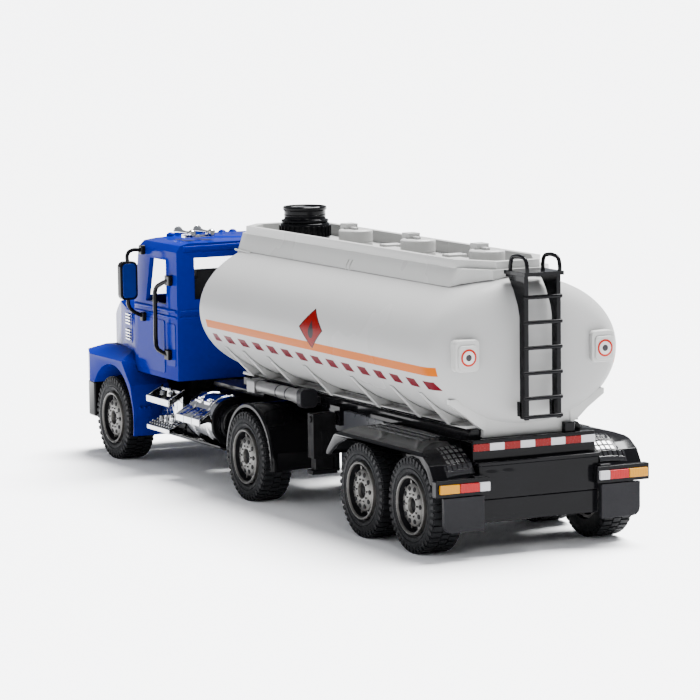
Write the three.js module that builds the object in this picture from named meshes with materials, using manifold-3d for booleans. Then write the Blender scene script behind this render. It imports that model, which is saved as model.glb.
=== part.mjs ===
// Toy tractor unit with a semi-trailer fuel tank, about 1:26.
// Millimetres, +X to the front, +Y to the left, +Z up. Places along the length are
// measured from the tail lamps and the whole group is then centred on the origin.
import * as THREE from 'three';
import { RoundedBoxGeometry } from 'three/addons/geometries/RoundedBoxGeometry.js';
import { mergeVertices } from 'three/addons/utils/BufferGeometryUtils.js';
import Module from 'manifold-3d';

const wasm = await Module();
wasm.setup();

// Driving dimensions
const LENGTH = 378;
const TYRE_RADIUS = 20;
const TYRE_WIDTH = 14;
const TYRE_BORE = 12.6;
const WHEEL_FACE = 47.5;
const AXLE_RADIUS = 2;
const GAP = 0.3;
const FRONT_AXLE = 336;
const DRIVE_AXLE = 186;
const TANDEM_AXLES = [73, 28.3];
const KINGPIN_X = DRIVE_AXLE;
const STEER_Y = 29;

const TANK_REAR = 8;
const TANK_FRONT = 250;
const TANK_CENTRE_Z = 80.8;
const TANK_HALF_WIDTH = 45.2;
const TANK_HALF_HEIGHT = 31;
const TANK_WALL = 1.4;
const DECK_Z = 113;
const COAMING_Z = 118.3;
const FILLER_X = 219;
const HATCH_X = { front: 168, middle: 109, rear: 48 };
const RIB_CENTRE = 119;
const RIB_OFFSETS = [22.5, 59.5, 85, 103];

const CAB_REAR = 272;
const CAB_FRONT = 322;
const CAB_HALF = 41;
const CAB_FLOOR = 44;
const FRAME_TOP = 43.5;
const TRAILER_FLOOR = 46.3;
const ARCH_RADIUS = 26;

const LEG_X = 130;
const LEG_Z = 43;

// Materials
const paint = (color, roughness, metalness = 0) =>
  new THREE.MeshStandardMaterial({ color, roughness, metalness });
const blue = paint(0x0a2fa8, 0.25);
const pale = paint(0xd2d0cd, 0.3);
const black = paint(0x0c0c0e, 0.3);
const dark = paint(0x222326, 0.55);
const grey = paint(0x8a8b8c, 0.5);
const chrome = paint(0xd8d8da, 0.12, 1);
const steel = paint(0x9c9c9c, 0.35, 1);
const rubber = paint(0x2b2c2e, 0.8);
const hubGrey = paint(0x8b8780, 0.4, 0.7);
const amber = paint(0xe5a22c, 0.3);
const clear = paint(0xe8eef2, 0.1);

// Solids
function solid(geometry) {
  const bare = geometry.clone();
  bare.deleteAttribute('normal');
  bare.deleteAttribute('uv');
  const merged = mergeVertices(bare, 1e-4);
  const mesh = new wasm.Mesh({
    numProp: 3,
    vertProperties: new Float32Array(merged.attributes.position.array),
    triVerts: new Uint32Array(merged.index.array),
  });
  return new wasm.Manifold(mesh);
}

function join(...pieces) {
  return pieces.reduce((sum, piece) => sum.add(piece));
}

function toGeometry(manifold) {
  const mesh = manifold.getMesh();
  const geometry = new THREE.BufferGeometry();
  geometry.setAttribute('position', new THREE.BufferAttribute(mesh.vertProperties, 3));
  geometry.setIndex(new THREE.BufferAttribute(mesh.triVerts, 1));
  return geometry;
}

// A box given by its low and high corner along each axis
function block([x0, x1], [y0, y1], [z0, z1]) {
  const geometry = new THREE.BoxGeometry(x1 - x0, y1 - y0, z1 - z0);
  return solid(geometry.translate((x0 + x1) / 2, (y0 + y1) / 2, (z0 + z1) / 2));
}

function softBlock([x0, x1], [y0, y1], [z0, z1], radius) {
  const geometry = new RoundedBoxGeometry(x1 - x0, y1 - y0, z1 - z0, 1, radius);
  return solid(geometry.translate((x0 + x1) / 2, (y0 + y1) / 2, (z0 + z1) / 2));
}

function extrudeOf(points, depth) {
  const shape = new THREE.Shape(points.map(([a, b]) => new THREE.Vector2(a, b)));
  return new THREE.ExtrudeGeometry(shape, { depth, bevelEnabled: false });
}

// Outline in (x, z), running along Y
function sideProfile(points, [y0, y1]) {
  return solid(extrudeOf(points, y1 - y0).rotateX(Math.PI / 2).translate(0, y1, 0));
}

// Outline in (y, z), running along X
function crossProfile(points, [x0, x1]) {
  const turn = new THREE.Matrix4().set(0, 0, 1, 0, 1, 0, 0, 0, 0, 1, 0, 0, 0, 0, 0, 1);
  return solid(extrudeOf(points, x1 - x0).applyMatrix4(turn).translate(x0, 0, 0));
}

// Outline in (x, y), running along Z
function planProfile(points, [z0, z1]) {
  return solid(extrudeOf(points, z1 - z0).translate(0, 0, z0));
}

function lathe(profile, segments) {
  return new THREE.LatheGeometry(profile.map(([r, h]) => new THREE.Vector2(r, h)), segments);
}

// Turned pieces: the profile is (radius, place along the axis)
const turnedY = (profile, x, z, segments) =>
  solid(lathe(profile, segments).translate(x, 0, z));
const turnedX = (profile, y, z, segments) =>
  solid(lathe(profile, segments).rotateZ(-Math.PI / 2).translate(0, y, z));
const turnedZ = (profile, x, y, segments) =>
  solid(lathe(profile, segments).rotateX(Math.PI / 2).translate(x, y, 0));

function rodProfile(radius, from, to) {
  return [[0, from], [radius, from], [radius, to], [0, to]];
}

// A round bar through a list of points
// (an arc is divided into twice the number that curveSegments gives)
function bar(points, radius, steps = 8, sides = 6) {
  const circle = new THREE.Shape();
  circle.absarc(0, 0, radius, 0, 2 * Math.PI);
  const path = new THREE.CatmullRomCurve3(
    points.map(([x, y, z]) => new THREE.Vector3(x, y, z)), false, 'centripetal');
  const options = { extrudePath: path, steps, curveSegments: sides / 2, bevelEnabled: false };
  return solid(new THREE.ExtrudeGeometry(circle, options));
}

// The right-hand twin of a left-hand piece
function otherSide(manifold) {
  const geometry = toGeometry(manifold);
  geometry.scale(1, -1, 1);
  const index = geometry.index.array;
  for (let i = 0; i < index.length; i += 3) {
    [index[i], index[i + 1]] = [index[i + 1], index[i]];
  }
  return solid(geometry);
}

const truck = new THREE.Group();
truck.position.x = -LENGTH / 2;

function put(name, manifold, material) {
  const mesh = new THREE.Mesh(toGeometry(manifold), material);
  mesh.name = name;
  truck.add(mesh);
}

function putPair(name, manifold, material) {
  put(`${name}_left`, manifold, material);
  put(`${name}_right`, otherSide(manifold), material);
}

// Both sides of a symmetrical piece in one solid
function bothSides(manifold) {
  return manifold.add(otherSide(manifold));
}

// ---------------------------------------------------------------- tractor frame
function tractorFrame() {
  const rail = block([167, 362], [12, 16], [30, FRAME_TOP]);
  const drivePlate = sideProfile([[179, 31], [181, 16], [191, 16], [193, 31]], [12, 16]);
  const springBlock = block([330, 342], [11, 16], [22.8, 30.5]);
  const sideBox = block([264, 303], [15.5, 36], [17.6, 32]);
  const tankBracket = block([240, 252], [15.5, 19], [24, 34]);
  let frame = bothSides(join(rail, drivePlate, springBlock, sideBox, tankBracket));
  const members = [[167, 172], [176, 196], [258, 268], [318, 323], [356, 362]];
  for (const span of members) {
    frame = frame.add(block(span, [-12.5, 12.5], [34, FRAME_TOP]));
  }
  frame = frame.add(block([214, 268], [-24.6, 24.6], [41.5, FRAME_TOP]));
  const axleHole = turnedY(rodProfile(AXLE_RADIUS + GAP, -20, 20), DRIVE_AXLE, 20, 16);
  const pinHole = turnedZ(rodProfile(3 + GAP, 40, 50), KINGPIN_X, 0, 20);
  return frame.subtract(axleHole).subtract(pinHole);
}
put('tractor_frame', tractorFrame(), black);

// ---------------------------------------------------------------- cab
const roofLine = [[39, 107.4], [35, 108.5], [25, 109.3], [0, 110], [-25, 109.3], [-35, 108.5],
  [-39, 107.4]];
const windscreenX = (z) => CAB_FRONT - (z - 77) * 6 / 27;

function cabShell() {
  const section = [[-CAB_HALF, CAB_FLOOR], [CAB_HALF, CAB_FLOOR], [CAB_HALF, 104.4],
    ...roofLine, [-CAB_HALF, 104.4]];
  const outline = [[CAB_REAR, CAB_FLOOR], [CAB_FRONT, CAB_FLOOR], [CAB_FRONT, 77],
    [windscreenX(104), 104], [313.6, 107.4], [308, 109.2], [303, 111], [CAB_REAR, 111]];
  let cab = crossProfile(section, [CAB_REAR, CAB_FRONT]);
  cab = cab.intersect(sideProfile(outline, [-45, 45]));
  const inside = section.map(([y, z]) => [y * 0.945, z > 100 ? z - 2.4 : z]);
  inside[0][1] = CAB_FLOOR - 1;
  inside[1][1] = CAB_FLOOR - 1;
  const insideOutline = [[CAB_REAR + 2, 40], [CAB_FRONT - 2, 40], [CAB_FRONT - 2, 76.4],
    [windscreenX(104) - 2, 103], [308, 107.4], [CAB_REAR + 2, 107.6]];
  const cavity = crossProfile(inside, [CAB_REAR + 2, CAB_FRONT - 2]);
  cab = cab.subtract(cavity.intersect(sideProfile(insideOutline, [-45, 45])));
  const doorWindow = [[284.5, 79], [308.5, 79], [302.5, 100], [284.5, 100]];
  cab = cab.subtract(sideProfile(doorWindow, [-50, 50]));
  cab = cab.subtract(block([CAB_REAR - 1, CAB_REAR + 3], [-32, 32], [82, 101.5]));
  cab = cab.subtract(block([311, 330], [-34, 34], [80.3, 101]));
  for (const y of [-27, -5.6, 0, 5.6, 27]) {
    const lamp = turnedZ([[0, 104], [1.8, 104], [1.8, 109.6], [1.1, 110.5], [0, 110.7]], 309.5, y, 8);
    cab = cab.add(lamp);
  }
  return cab;
}
put('cab_shell', cabShell(), blue);

function cabInterior() {
  const floor = block([274.4, 319.5], [-38.2, 38.2], [CAB_FLOOR + GAP, 46]);
  const bench = block([276, 293], [-34, 34], [45.5, 59]);
  const back = block([275.4, 280.4], [7, 33], [55, 92])
    .add(block([275.4, 280.4], [11, 29], [90, 95.5]));
  const dash = sideProfile([[310, 45.5], [319.5, 45.5], [319.5, 75], [314, 76.5], [308, 72]],
    [-36, 36]);
  return join(floor, bench, bothSides(back), dash);
}
put('cab_interior', cabInterior(), black);

const paneSlope = (offset) => [80.7, 100.6].map((z) => [windscreenX(z) - offset, z]);
put('windscreen', sideProfile([...paneSlope(0.5), ...paneSlope(1.5).reverse()],
  [-33.6, 33.6]), clear);

// ---------------------------------------------------------------- bonnet and wings
const wingOutline = [[309.3, 14], [374, 14], [374, 49], [366, 52.6], [334, 53.4], [323.5, 48.8],
  [313, 38], [309.3, 26]];

function bonnet() {
  const outline = [[CAB_FRONT + GAP, 36], [374, 36], [375, 50], [373.6, 57.4], [369.6, 64],
    [363, 69.6], [354, 74.4], [344, 77.6], [334, 79], [CAB_FRONT + GAP, 79.6]];
  const plan = [[CAB_FRONT + GAP, -39.6], [338, -37], [352, -35], [366, -32], [375, -27],
    [375, 27], [366, 32], [352, 35], [338, 37], [CAB_FRONT + GAP, 39.6]];
  const section = [[-39.8, 36], [39.8, 36], [39.4, 62], [37.8, 70], [34, 75.6], [29, 78.4],
    [0, 80.4], [-29, 78.4], [-34, 75.6], [-37.8, 70], [-39.4, 62]];
  let hood = crossProfile(section, [CAB_FRONT + GAP, 375]);
  hood = hood.intersect(sideProfile(outline, [-40, 40]));
  hood = hood.intersect(planProfile(plan, [30, 80]));
  const wingSection = [[28, 14], [48, 14], [48, 48.7], [35, 53.6], [28, 55]];
  const wingPlan = [[309.3, 28], [374, 28], [374, 40], [372.5, 44.5], [363, 48], [309.3, 48]];
  let wing = crossProfile(wingSection, [309.3, 374]);
  wing = wing.intersect(sideProfile(wingOutline, [27, 49]));
  wing = wing.intersect(planProfile(wingPlan, [10, 60]));
  wing = wing.subtract(block([309, CAB_FRONT], [27, CAB_HALF + GAP], [43.4, 60]));
  hood = hood.add(bothSides(wing));
  const bay = block([CAB_FRONT - 1, 371.5], [-28, 28], [28, 64]);
  const noseCut = block([352, 376], [-50, 50], [10, 35]);
  const arch = turnedY(rodProfile(ARCH_RADIUS, -60, 60), FRONT_AXLE, 20, 40);
  return hood.subtract(bay).subtract(noseCut).subtract(arch);
}
put('bonnet_and_wings', bonnet(), blue);

function grille() {
  let plate = block([375 + GAP, 377.2], [-21, 21], [37, 58]);
  for (let row = 0; row < 5; row += 1) {
    const low = 39 + row * 3.8;
    plate = plate.subtract(block([374, 378], [-19, 19], [low, low + 2]));
  }
  return plate;
}
put('grille', grille(), black);

putPair('headlamp', softBlock([374 + GAP, 376.8], [29.4, 40.5], [38, 46.5], 0.8), clear);

function bumper() {
  const plan = [[363, -45.5], [372, -45], [376, -40], [LENGTH, -30], [LENGTH, 30],
    [376, 40], [372, 45], [363, 45.5]];
  const beam = planProfile(plan, [17, 34.6]);
  const slot = block([376, 379], [-18, 18], [21, 27]);
  return beam.subtract(slot);
}
put('front_bumper', bumper(), black);

// ---------------------------------------------------------------- cab fittings
function mirror() {
  const upper = bar([[309, CAB_HALF + 1, 103], [309, 45.4, 103.2], [309, 49, 102.4],
    [309, 49.8, 99.5], [309, 49.8, 97]], 0.9);
  const lower = bar([[309, 49.8, 82], [309, 49.8, 78.5], [309, 49, 76], [309, 44.6, 73],
    [309, CAB_HALF + 1, 71]], 0.9);
  const head = softBlock([306.6, 311.4], [45.2, 54.4], [79.6, 98.2], 1.9);
  const feet = block([307.4, 310.6], [CAB_HALF + GAP, 43], [101, 105.4])
    .add(block([307.4, 310.6], [CAB_HALF + GAP, 43], [69.2, 73.4]));
  return join(upper, lower, head, feet);
}
putPair('mirror', mirror(), black);

function grabHandle() {
  const rail = bar([[278.5, 42.5, 91], [284, 44, 89], [288.2, 44.8, 86], [288.8, 44.8, 80],
    [288.8, 44.8, 62], [288.4, 44.8, 58], [285, 44, 56.6], [280.5, 42.5, 55.8]], 1, 14);
  const feet = block([276, 281], [CAB_HALF + GAP, 43.4], [88.5, 93.5])
    .add(block([278, 283], [CAB_HALF + GAP, 43.4], [53.4, 58.2]));
  return rail.add(feet);
}
putPair('grab_handle', grabHandle(), black);

function airHorns() {
  const horn = [[0, 281], [1.6, 281], [1.9, 283], [1.1, 284.5], [0.9, 290], [1.3, 294],
    [2.4, 298.5], [2.2, 298.5], [0, 294.5]];
  const base = block([285, 289], [15.5, 30.5], [109.9, 111.4]);
  return join(turnedX(horn, 18, 112, 10), turnedX(horn, 28, 112, 10), base);
}
put('air_horns', airHorns(), chrome);

function cabSteps() {
  const tread = (z, rise) => crossProfile([[36.3, z - 2.5], [45, z - 2.5], [45, z],
    [36.3, z + rise]], [275.6, 301]);
  const back = block([275.6, 301], [36.3, 37.8], [18, 38.6]);
  return join(tread(34.2, 4.6), tread(21.2, 3.6), back);
}
putPair('cab_steps', cabSteps(), chrome);

function fuelTank() {
  const drum = turnedX([[0, 231], [10.9, 231], [11.4, 231.8], [11.4, 262.2], [10.9, 263],
    [0, 263]], 31, 28.8, 28);
  const endCap = turnedX([[0, 226.8], [8.4, 226.8], [9, 227.4], [9, 231], [11.9, 231],
    [11.9, 233], [0, 233]], 31, 28.8, 28);
  const step = crossProfile([[39.4, 35], [47.2, 30.6], [47.2, 27.4], [39.4, 29.6]],
    [236.5, 262.5]);
  return join(drum, endCap, step);
}
putPair('fuel_tank', fuelTank(), chrome);

// ---------------------------------------------------------------- drive axle end
function driveWing() {
  const outer = [];
  const inner = [];
  for (let step = 0; step <= 16; step += 1) {
    const angle = Math.PI * step / 16;
    outer.push([DRIVE_AXLE + 23.8 * Math.cos(angle), 20 + 23.8 * Math.sin(angle)]);
    inner.push([DRIVE_AXLE + 22.3 * Math.cos(angle), 20 + 22.3 * Math.sin(angle)]);
  }
  const ends = (radius) => [DRIVE_AXLE - radius, 16];
  const outline = [[DRIVE_AXLE + 23.8, 16], ...outer, ends(23.8), ends(22.3),
    ...inner.reverse(), [DRIVE_AXLE + 22.3, 16]];
  return sideProfile(outline, [16 + GAP, 46]);
}
putPair('drive_wing', driveWing(), black);

function fifthWheel() {
  const plate = turnedZ(rodProfile(15, FRAME_TOP + GAP, 46), KINGPIN_X, 0, 32);
  const ramp = block([166, 180], [-9, 9], [FRAME_TOP + GAP, 45.2]);
  const socket = turnedZ(rodProfile(3 + GAP, 40, 50), KINGPIN_X, 0, 20);
  const slot = planProfile([[163, -7], [180, -2.6], [180, 2.6], [163, 7]], [40, 50]);
  return plate.add(ramp).subtract(socket).subtract(slot);
}
put('fifth_wheel', fifthWheel(), dark);

// ---------------------------------------------------------------- wheels
const TYRE_PROFILE = [[TYRE_BORE, 0.4], [18, 0], [TYRE_RADIUS, 2.2],
  [TYRE_RADIUS, TYRE_WIDTH - 2.2], [18, TYRE_WIDTH], [TYRE_BORE, TYRE_WIDTH - 0.4],
  [TYRE_BORE, 0.4]];

function tyre(x) {
  const inboard = WHEEL_FACE - TYRE_WIDTH;
  return turnedY(TYRE_PROFILE.map(([r, h]) => [r, h + inboard]), x, 20, 28);
}

function hubProfile(bore) {
  const rim = TYRE_BORE - GAP;
  return [[bore, 37], [10.8, 39.6], [10.8, 35.2], [rim, 35.2], [rim, 48.1], [11, 48.1],
    [9.8, 43], [5.8, 43.4], [4.2, 46.6], [bore, 46.6]];
}

function wheelset(x) {
  const half = turnedY([...hubProfile(0), [0, 37]], x, 20, 20);
  const rod = turnedY(rodProfile(AXLE_RADIUS, -38, 38), x, 20, 12);
  return bothSides(half).add(rod);
}

const driven = [['drive', DRIVE_AXLE], ['trailer_front', TANDEM_AXLES[0]],
  ['trailer_rear', TANDEM_AXLES[1]]];
for (const [name, x] of driven) {
  put(`${name}_axle`, wheelset(x), hubGrey);
  putPair(`${name}_tyre`, tyre(x), rubber);
}

const bored = hubProfile(AXLE_RADIUS + GAP);
const frontHub = turnedY([...bored.slice(0, -1), [0, 46.6], [0, 45.6],
  [AXLE_RADIUS + GAP, 45.6], bored[0]], FRONT_AXLE, 20, 20);
putPair('front_hub', frontHub, hubGrey);
putPair('front_tyre', tyre(FRONT_AXLE), rubber);

// ---------------------------------------------------------------- steering
function frontBeam() {
  const bossEnd = turnedZ(rodProfile(4, 17.5, 22.5), FRONT_AXLE, STEER_Y, 20);
  const kingHole = turnedZ(rodProfile(AXLE_RADIUS + GAP, 10, 30), FRONT_AXLE, STEER_Y, 16);
  const beam = block([332.5, 339.5], [-STEER_Y, STEER_Y], [17.5, 22.5]);
  return beam.add(bothSides(bossEnd)).subtract(bothSides(kingHole));
}
put('front_axle_beam', frontBeam(), black);

function knuckle() {
  const pin = turnedZ(rodProfile(AXLE_RADIUS, 15.6, 24.4), FRONT_AXLE, STEER_Y, 16);
  const plate = (z0, z1) => block([333, 339], [26, 34.4], [z0, z1]);
  const web = block([333, 339], [33.3, 34.6], [15.6, 24.4]);
  const spindle = turnedY(rodProfile(AXLE_RADIUS, 34, 45), FRONT_AXLE, 20, 16);
  const arm = block([321, 335], [27, 30], [15.6, 17.2]);
  return join(pin, plate(22.8, 24.4), plate(15.6, 17.2), web, spindle, arm);
}
putPair('steering_knuckle', knuckle(), dark);

put('tie_rod', block([320.6, 324.6], [-28.6, 28.6], [13.6, 15.3]), dark);

// ---------------------------------------------------------------- trailer frame
function trailerFrame() {
  const rail = crossProfile([[20.9, 45], [24.8, 45], [26, 46.2], [26, 49.4], [24.8, 50.6],
    [20.9, 50.6]], [17, 232]);
  const wing = block([20, 100], [25.5, 28.6], [TRAILER_FLOOR, 47.8]);
  const hanger = block([125.5, 134.5], [25.5, 30.5], [39.8, 48]);
  const bogieSide = block([17, 86], [14, 19], [15.5, TRAILER_FLOOR + 0.5]);
  let frame = bothSides(join(rail, wing, hanger, bogieSide));
  frame = frame.add(block([20, 232], [-23, 23], [TRAILER_FLOOR, 48]));
  for (const span of [[17, 22], [48, 54], [81, 86]]) {
    frame = frame.add(block(span, [-15, 15], [26, TRAILER_FLOOR + 0.5]));
  }
  const legHole = turnedY(rodProfile(1.5 + GAP, -40, 40), LEG_X, LEG_Z, 16);
  const pinHole = turnedZ(rodProfile(3, 40, 50), KINGPIN_X, 0, 20);
  frame = frame.subtract(legHole).subtract(pinHole);
  for (const x of TANDEM_AXLES) {
    frame = frame.subtract(turnedY(rodProfile(AXLE_RADIUS + GAP, -30, 30), x, 20, 16));
  }
  return frame;
}
put('trailer_frame', trailerFrame(), black);

put('kingpin', turnedZ([[0, 42], [2.2, 42], [2.7, 42.6], [2.7, 48.7], [0, 48.7]],
  KINGPIN_X, 0, 20), steel);

function landingGear() {
  const rod = turnedY(rodProfile(1.5, -43, 43), LEG_X, LEG_Z, 16);
  const leg = block([LEG_X - 2.8, LEG_X + 2.8], [31, 43], [20, LEG_Z + 2.5])
    .add(block([LEG_X - 2.9, LEG_X + 2.9], [32, 42], [19, 21]));
  const panel = block([LEG_X - 1.2, LEG_X + 1.2], [-32, 32], [19.5, 37]);
  return join(rod, bothSides(leg), panel);
}
put('landing_gear', landingGear(), black);

// ---------------------------------------------------------------- tank
const HEAD = [[0, 0], [0.42, 0.7], [0.64, 1.9], [0.8, 4], [0.91, 7], [0.975, 10.5], [1, 14]];

// The barrel is an ellipse in section; grow moves its surface outwards
function barrel(grow, segments = 40, head = HEAD) {
  const rear = head.map(([r, h]) => [r, TANK_REAR - grow + h]);
  const front = head.map(([r, h]) => [r, TANK_FRONT + grow - h]).reverse();
  const turned = lathe([...rear, ...front], segments).rotateZ(-Math.PI / 2);
  turned.scale(1, TANK_HALF_WIDTH + grow, TANK_HALF_HEIGHT + grow);
  return solid(turned.translate(0, 0, TANK_CENTRE_Z));
}

function tankShell() {
  const boss = block([6, 18], [26.2, 37], [75.8, 88.8]);
  let shell = barrel(0).add(bothSides(boss));
  const innerHead = HEAD.filter((point, index) => index % 2 === 0);
  shell = shell.subtract(barrel(-TANK_WALL, 24, innerHead));
  return shell.subtract(turnedZ(rodProfile(8, 95, 125), FILLER_X, 0, 20));
}
put('tank_shell', tankShell(), pale);

function tankCradle() {
  const wall = block([15, 236], [17.6, 20.6], [48.3, 58]);
  const flange = block([19, 232], [18.5, 26.4], [50.9, 52]);
  let side = wall.add(flange);
  for (const offset of RIB_OFFSETS) {
    for (const x of [RIB_CENTRE - offset, RIB_CENTRE + offset]) {
      const outline = x < 20
        ? [[20, 50], [24.5, 53], [28.3, 56.4], [31.6, 58.7], [36.2, 61.8], [36.2, 64], [20, 64]]
        : [[20, 51], [26.4, 51], [39.6, 65], [20, 65]];
      side = side.add(crossProfile(outline, [x - 1.4, x + 1.4]));
    }
  }
  const ends = block([15, 18], [-20.6, 20.6], [47.3, 58])
    .add(block([233, 236], [-20.6, 20.6], [48.3, 58]));
  return bothSides(side).add(ends).subtract(barrel(GAP));
}
put('tank_cradle', tankCradle(), pale);

function tankTop() {
  const plan = (half, reach) => [[39 - reach, -half], [22 - reach, -half / 2],
    [22 - reach, half / 2], [39 - reach, half], [239 + reach, half], [249, half / 2],
    [249, -half / 2], [239 + reach, -half]];
  const shoulder = crossProfile([[-24.6, 103], [24.6, 103], [24.2, 107], [20, 115],
    [-20, 115], [-24.2, 107]], [20, 249]).intersect(planProfile(plan(24.6, 1), [90, 130]));
  const rim = planProfile(plan(20.4, 0), [114.8, COAMING_Z]);
  const well = planProfile(plan(17.6, -3).map(([x, y]) => [Math.min(x, 245), y]), [DECK_Z, 125]);
  const neck = turnedZ(rodProfile(8, 95, 125), FILLER_X, 0, 20);
  return shoulder.add(rim).subtract(well).subtract(barrel(GAP)).subtract(neck);
}
put('tank_top', tankTop(), pale);

function hatch(x) {
  const lid = turnedZ([[0, DECK_Z + GAP], [7.6, DECK_Z + GAP], [7.6, 118], [7, 118.8],
    [0, 118.8]], x, 0, 24);
  const lug = block([x + 5, x + 9.4], [-3, 3], [DECK_Z + GAP, 120.4]);
  return lid.add(lug);
}
for (const [name, x] of Object.entries(HATCH_X)) {
  put(`hatch_${name}`, hatch(x), pale);
}

// The threaded plug rises in the neck as the cap is unscrewed above it
put('filler_plug', turnedZ([[6, 106], [7.7, 106], [7.7, 112.9], [6, 112.9], [6, 106]],
  FILLER_X, 0, 20), dark);

function fillerCap() {
  return turnedZ([[0, DECK_Z + GAP], [11.6, DECK_Z + GAP], [12, 114], [12, 119],
    [11.2, 120.4], [10.9, 120.6], [10.9, 121.8], [9.6, 122.2], [9.6, 126], [10.1, 126.4],
    [10.1, 128], [8.6, 128], [8.4, 127.2], [0, 127.2]], FILLER_X, 0, 24);
}
put('filler_cap', fillerCap(), black);

function ladder() {
  const outline = [[2.2, 55], [7, 55], [7, 99], [14.6, 112.5], [14.6, 114.8], [2.2, 114.8]];
  const rail = sideProfile(outline, [6.9, 8.2]);
  const hoop = bar([[1.3, 7.6, 114], [1.3, 7.6, 118], [2.6, 7.6, 120.4], [8, 7.6, 121.2],
    [13, 7.6, 120.6], [14.8, 7.6, 118], [14.8, 7.6, 114]], 0.8, 12);
  let frame = bothSides(rail.add(hoop));
  frame = frame.add(block([0.4, 17.6], [-9.2, 9.2], [113.6, 115.2]));
  for (let rung = 0; rung < 6; rung += 1) {
    const z = rung === 5 ? 56 : 105 - rung * 10.3;
    frame = frame.add(block([1.4, 3.2], [-8.2, 8.2], [z - 0.8, z + 0.8]));
  }
  return frame.subtract(barrel(GAP)).subtract(planProfile([[19, -12], [60, -12], [60, 12],
    [19, 12]], [100, 130]));
}
put('ladder', ladder(), black);

function dischargePipe() {
  const tube = turnedX([[0, 155], [3.8, 155], [3.4, 163], [3, 166], [3, 180], [2.6, 180.4],
    [2.6, 203], [0, 203]], 32.2, 48.8, 12);
  const frontBlock = block([201.3, 209.6], [28.6, 35.4], [45.4, 51.8]);
  const box = softBlock([151.4, 156], [28, 36.6], [44.6, 53.2], 1);
  const arms = block([152, 155], [26 + GAP, 30], [46.6, 49.4])
    .add(block([203, 207], [26 + GAP, 30], [46.6, 49.8]));
  return join(tube, frontBlock, box, arms);
}
put('discharge_pipe', dischargePipe(), grey);

// ---------------------------------------------------------------- trailer tail
function trailerWing() {
  const skin = (inset) => {
    const section = [[29 - inset, 28], [29 - inset, 46.2 - inset], [34, 46.2 - inset],
      [40, 45.4 - inset], [45 - inset / 2, 44.2 - inset], [48 - inset, 43 - inset],
      [48.9 - inset, 41.8], [48.9 - inset, 28]];
    const outline = [[5.4 + inset, 28], [5.8 + inset, 33], [9.4 + inset, 38.6],
      [16 + inset, 42.6 - inset / 2], [25, 45.6 - inset], [33, 46.6 - inset],
      [80, 46.6 - inset], [88, 44.8 - inset], [95 - inset, 41 - inset / 2],
      [102 - inset, 33.6], [103 - inset, 28]];
    return crossProfile(section, [4, 104]).intersect(sideProfile(outline, [24, 54]));
  };
  const opening = sideProfile([[0, 27], [0, 31], [9, 31], [11.6, 36], [18, 40.4], [28, 41.6],
    [72, 41.6], [84, 40.6], [93, 37], [100, 32], [106, 32], [106, 27]], [20, 60]);
  return skin(0).subtract(skin(1.5)).subtract(opening);
}
putPair('trailer_wing', trailerWing(), black);

function tailPanel() {
  const lower = block([5.3, 8], [-28, 28], [14, 37.4]);
  const ledge = block([4.6, 12], [-28.6, 28.6], [37.3, 39]);
  const riser = block([9.4, 11], [-28.6, 28.6], [38.5, 47.6]);
  const deck = block([9.4, 14.7], [-28.6, 28.6], [46.4, 47]);
  const arms = block([7.5, 16.7], [8, 14], [24, 37.4]);
  const stop = block([11.5, 14.4], [-20.4, -15.8], [46.6, 51.4]);
  return join(lower, ledge, riser, deck, stop, bothSides(arms));
}
put('tail_panel', tailPanel(), black);

putPair('lamp_bar', block([1.2, 5], [25.2, 50], [26.4, 33.4]), black);
putPair('lamp_lens', block([0, 0.9], [25.6, 48.6], [28, 31.8]), amber);

putPair('mudflap', softBlock([2, 4.4], [27.4, 46], [11.6, 26.4 - GAP], 0.7), dark);

export default truck;
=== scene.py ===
import bpy
import bmesh
import math
from mathutils import Matrix, Vector


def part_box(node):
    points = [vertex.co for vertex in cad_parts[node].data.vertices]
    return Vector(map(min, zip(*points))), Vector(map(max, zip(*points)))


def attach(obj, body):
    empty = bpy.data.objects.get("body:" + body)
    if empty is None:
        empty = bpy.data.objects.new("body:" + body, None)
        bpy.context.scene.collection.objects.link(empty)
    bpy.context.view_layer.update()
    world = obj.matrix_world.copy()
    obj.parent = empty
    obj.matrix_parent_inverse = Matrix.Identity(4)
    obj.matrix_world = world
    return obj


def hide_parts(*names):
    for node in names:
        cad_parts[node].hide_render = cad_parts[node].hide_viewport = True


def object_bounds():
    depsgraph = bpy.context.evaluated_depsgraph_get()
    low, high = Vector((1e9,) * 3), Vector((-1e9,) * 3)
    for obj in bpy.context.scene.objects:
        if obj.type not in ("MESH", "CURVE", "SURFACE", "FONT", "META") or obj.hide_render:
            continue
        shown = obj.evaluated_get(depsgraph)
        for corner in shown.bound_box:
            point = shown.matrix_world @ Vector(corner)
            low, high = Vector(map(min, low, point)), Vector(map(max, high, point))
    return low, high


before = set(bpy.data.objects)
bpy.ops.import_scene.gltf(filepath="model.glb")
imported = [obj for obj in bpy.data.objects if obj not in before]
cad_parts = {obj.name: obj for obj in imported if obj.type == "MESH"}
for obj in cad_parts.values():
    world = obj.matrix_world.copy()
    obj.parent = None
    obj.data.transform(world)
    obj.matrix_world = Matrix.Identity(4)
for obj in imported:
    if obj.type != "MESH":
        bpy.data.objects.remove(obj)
cad_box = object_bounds()

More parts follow.
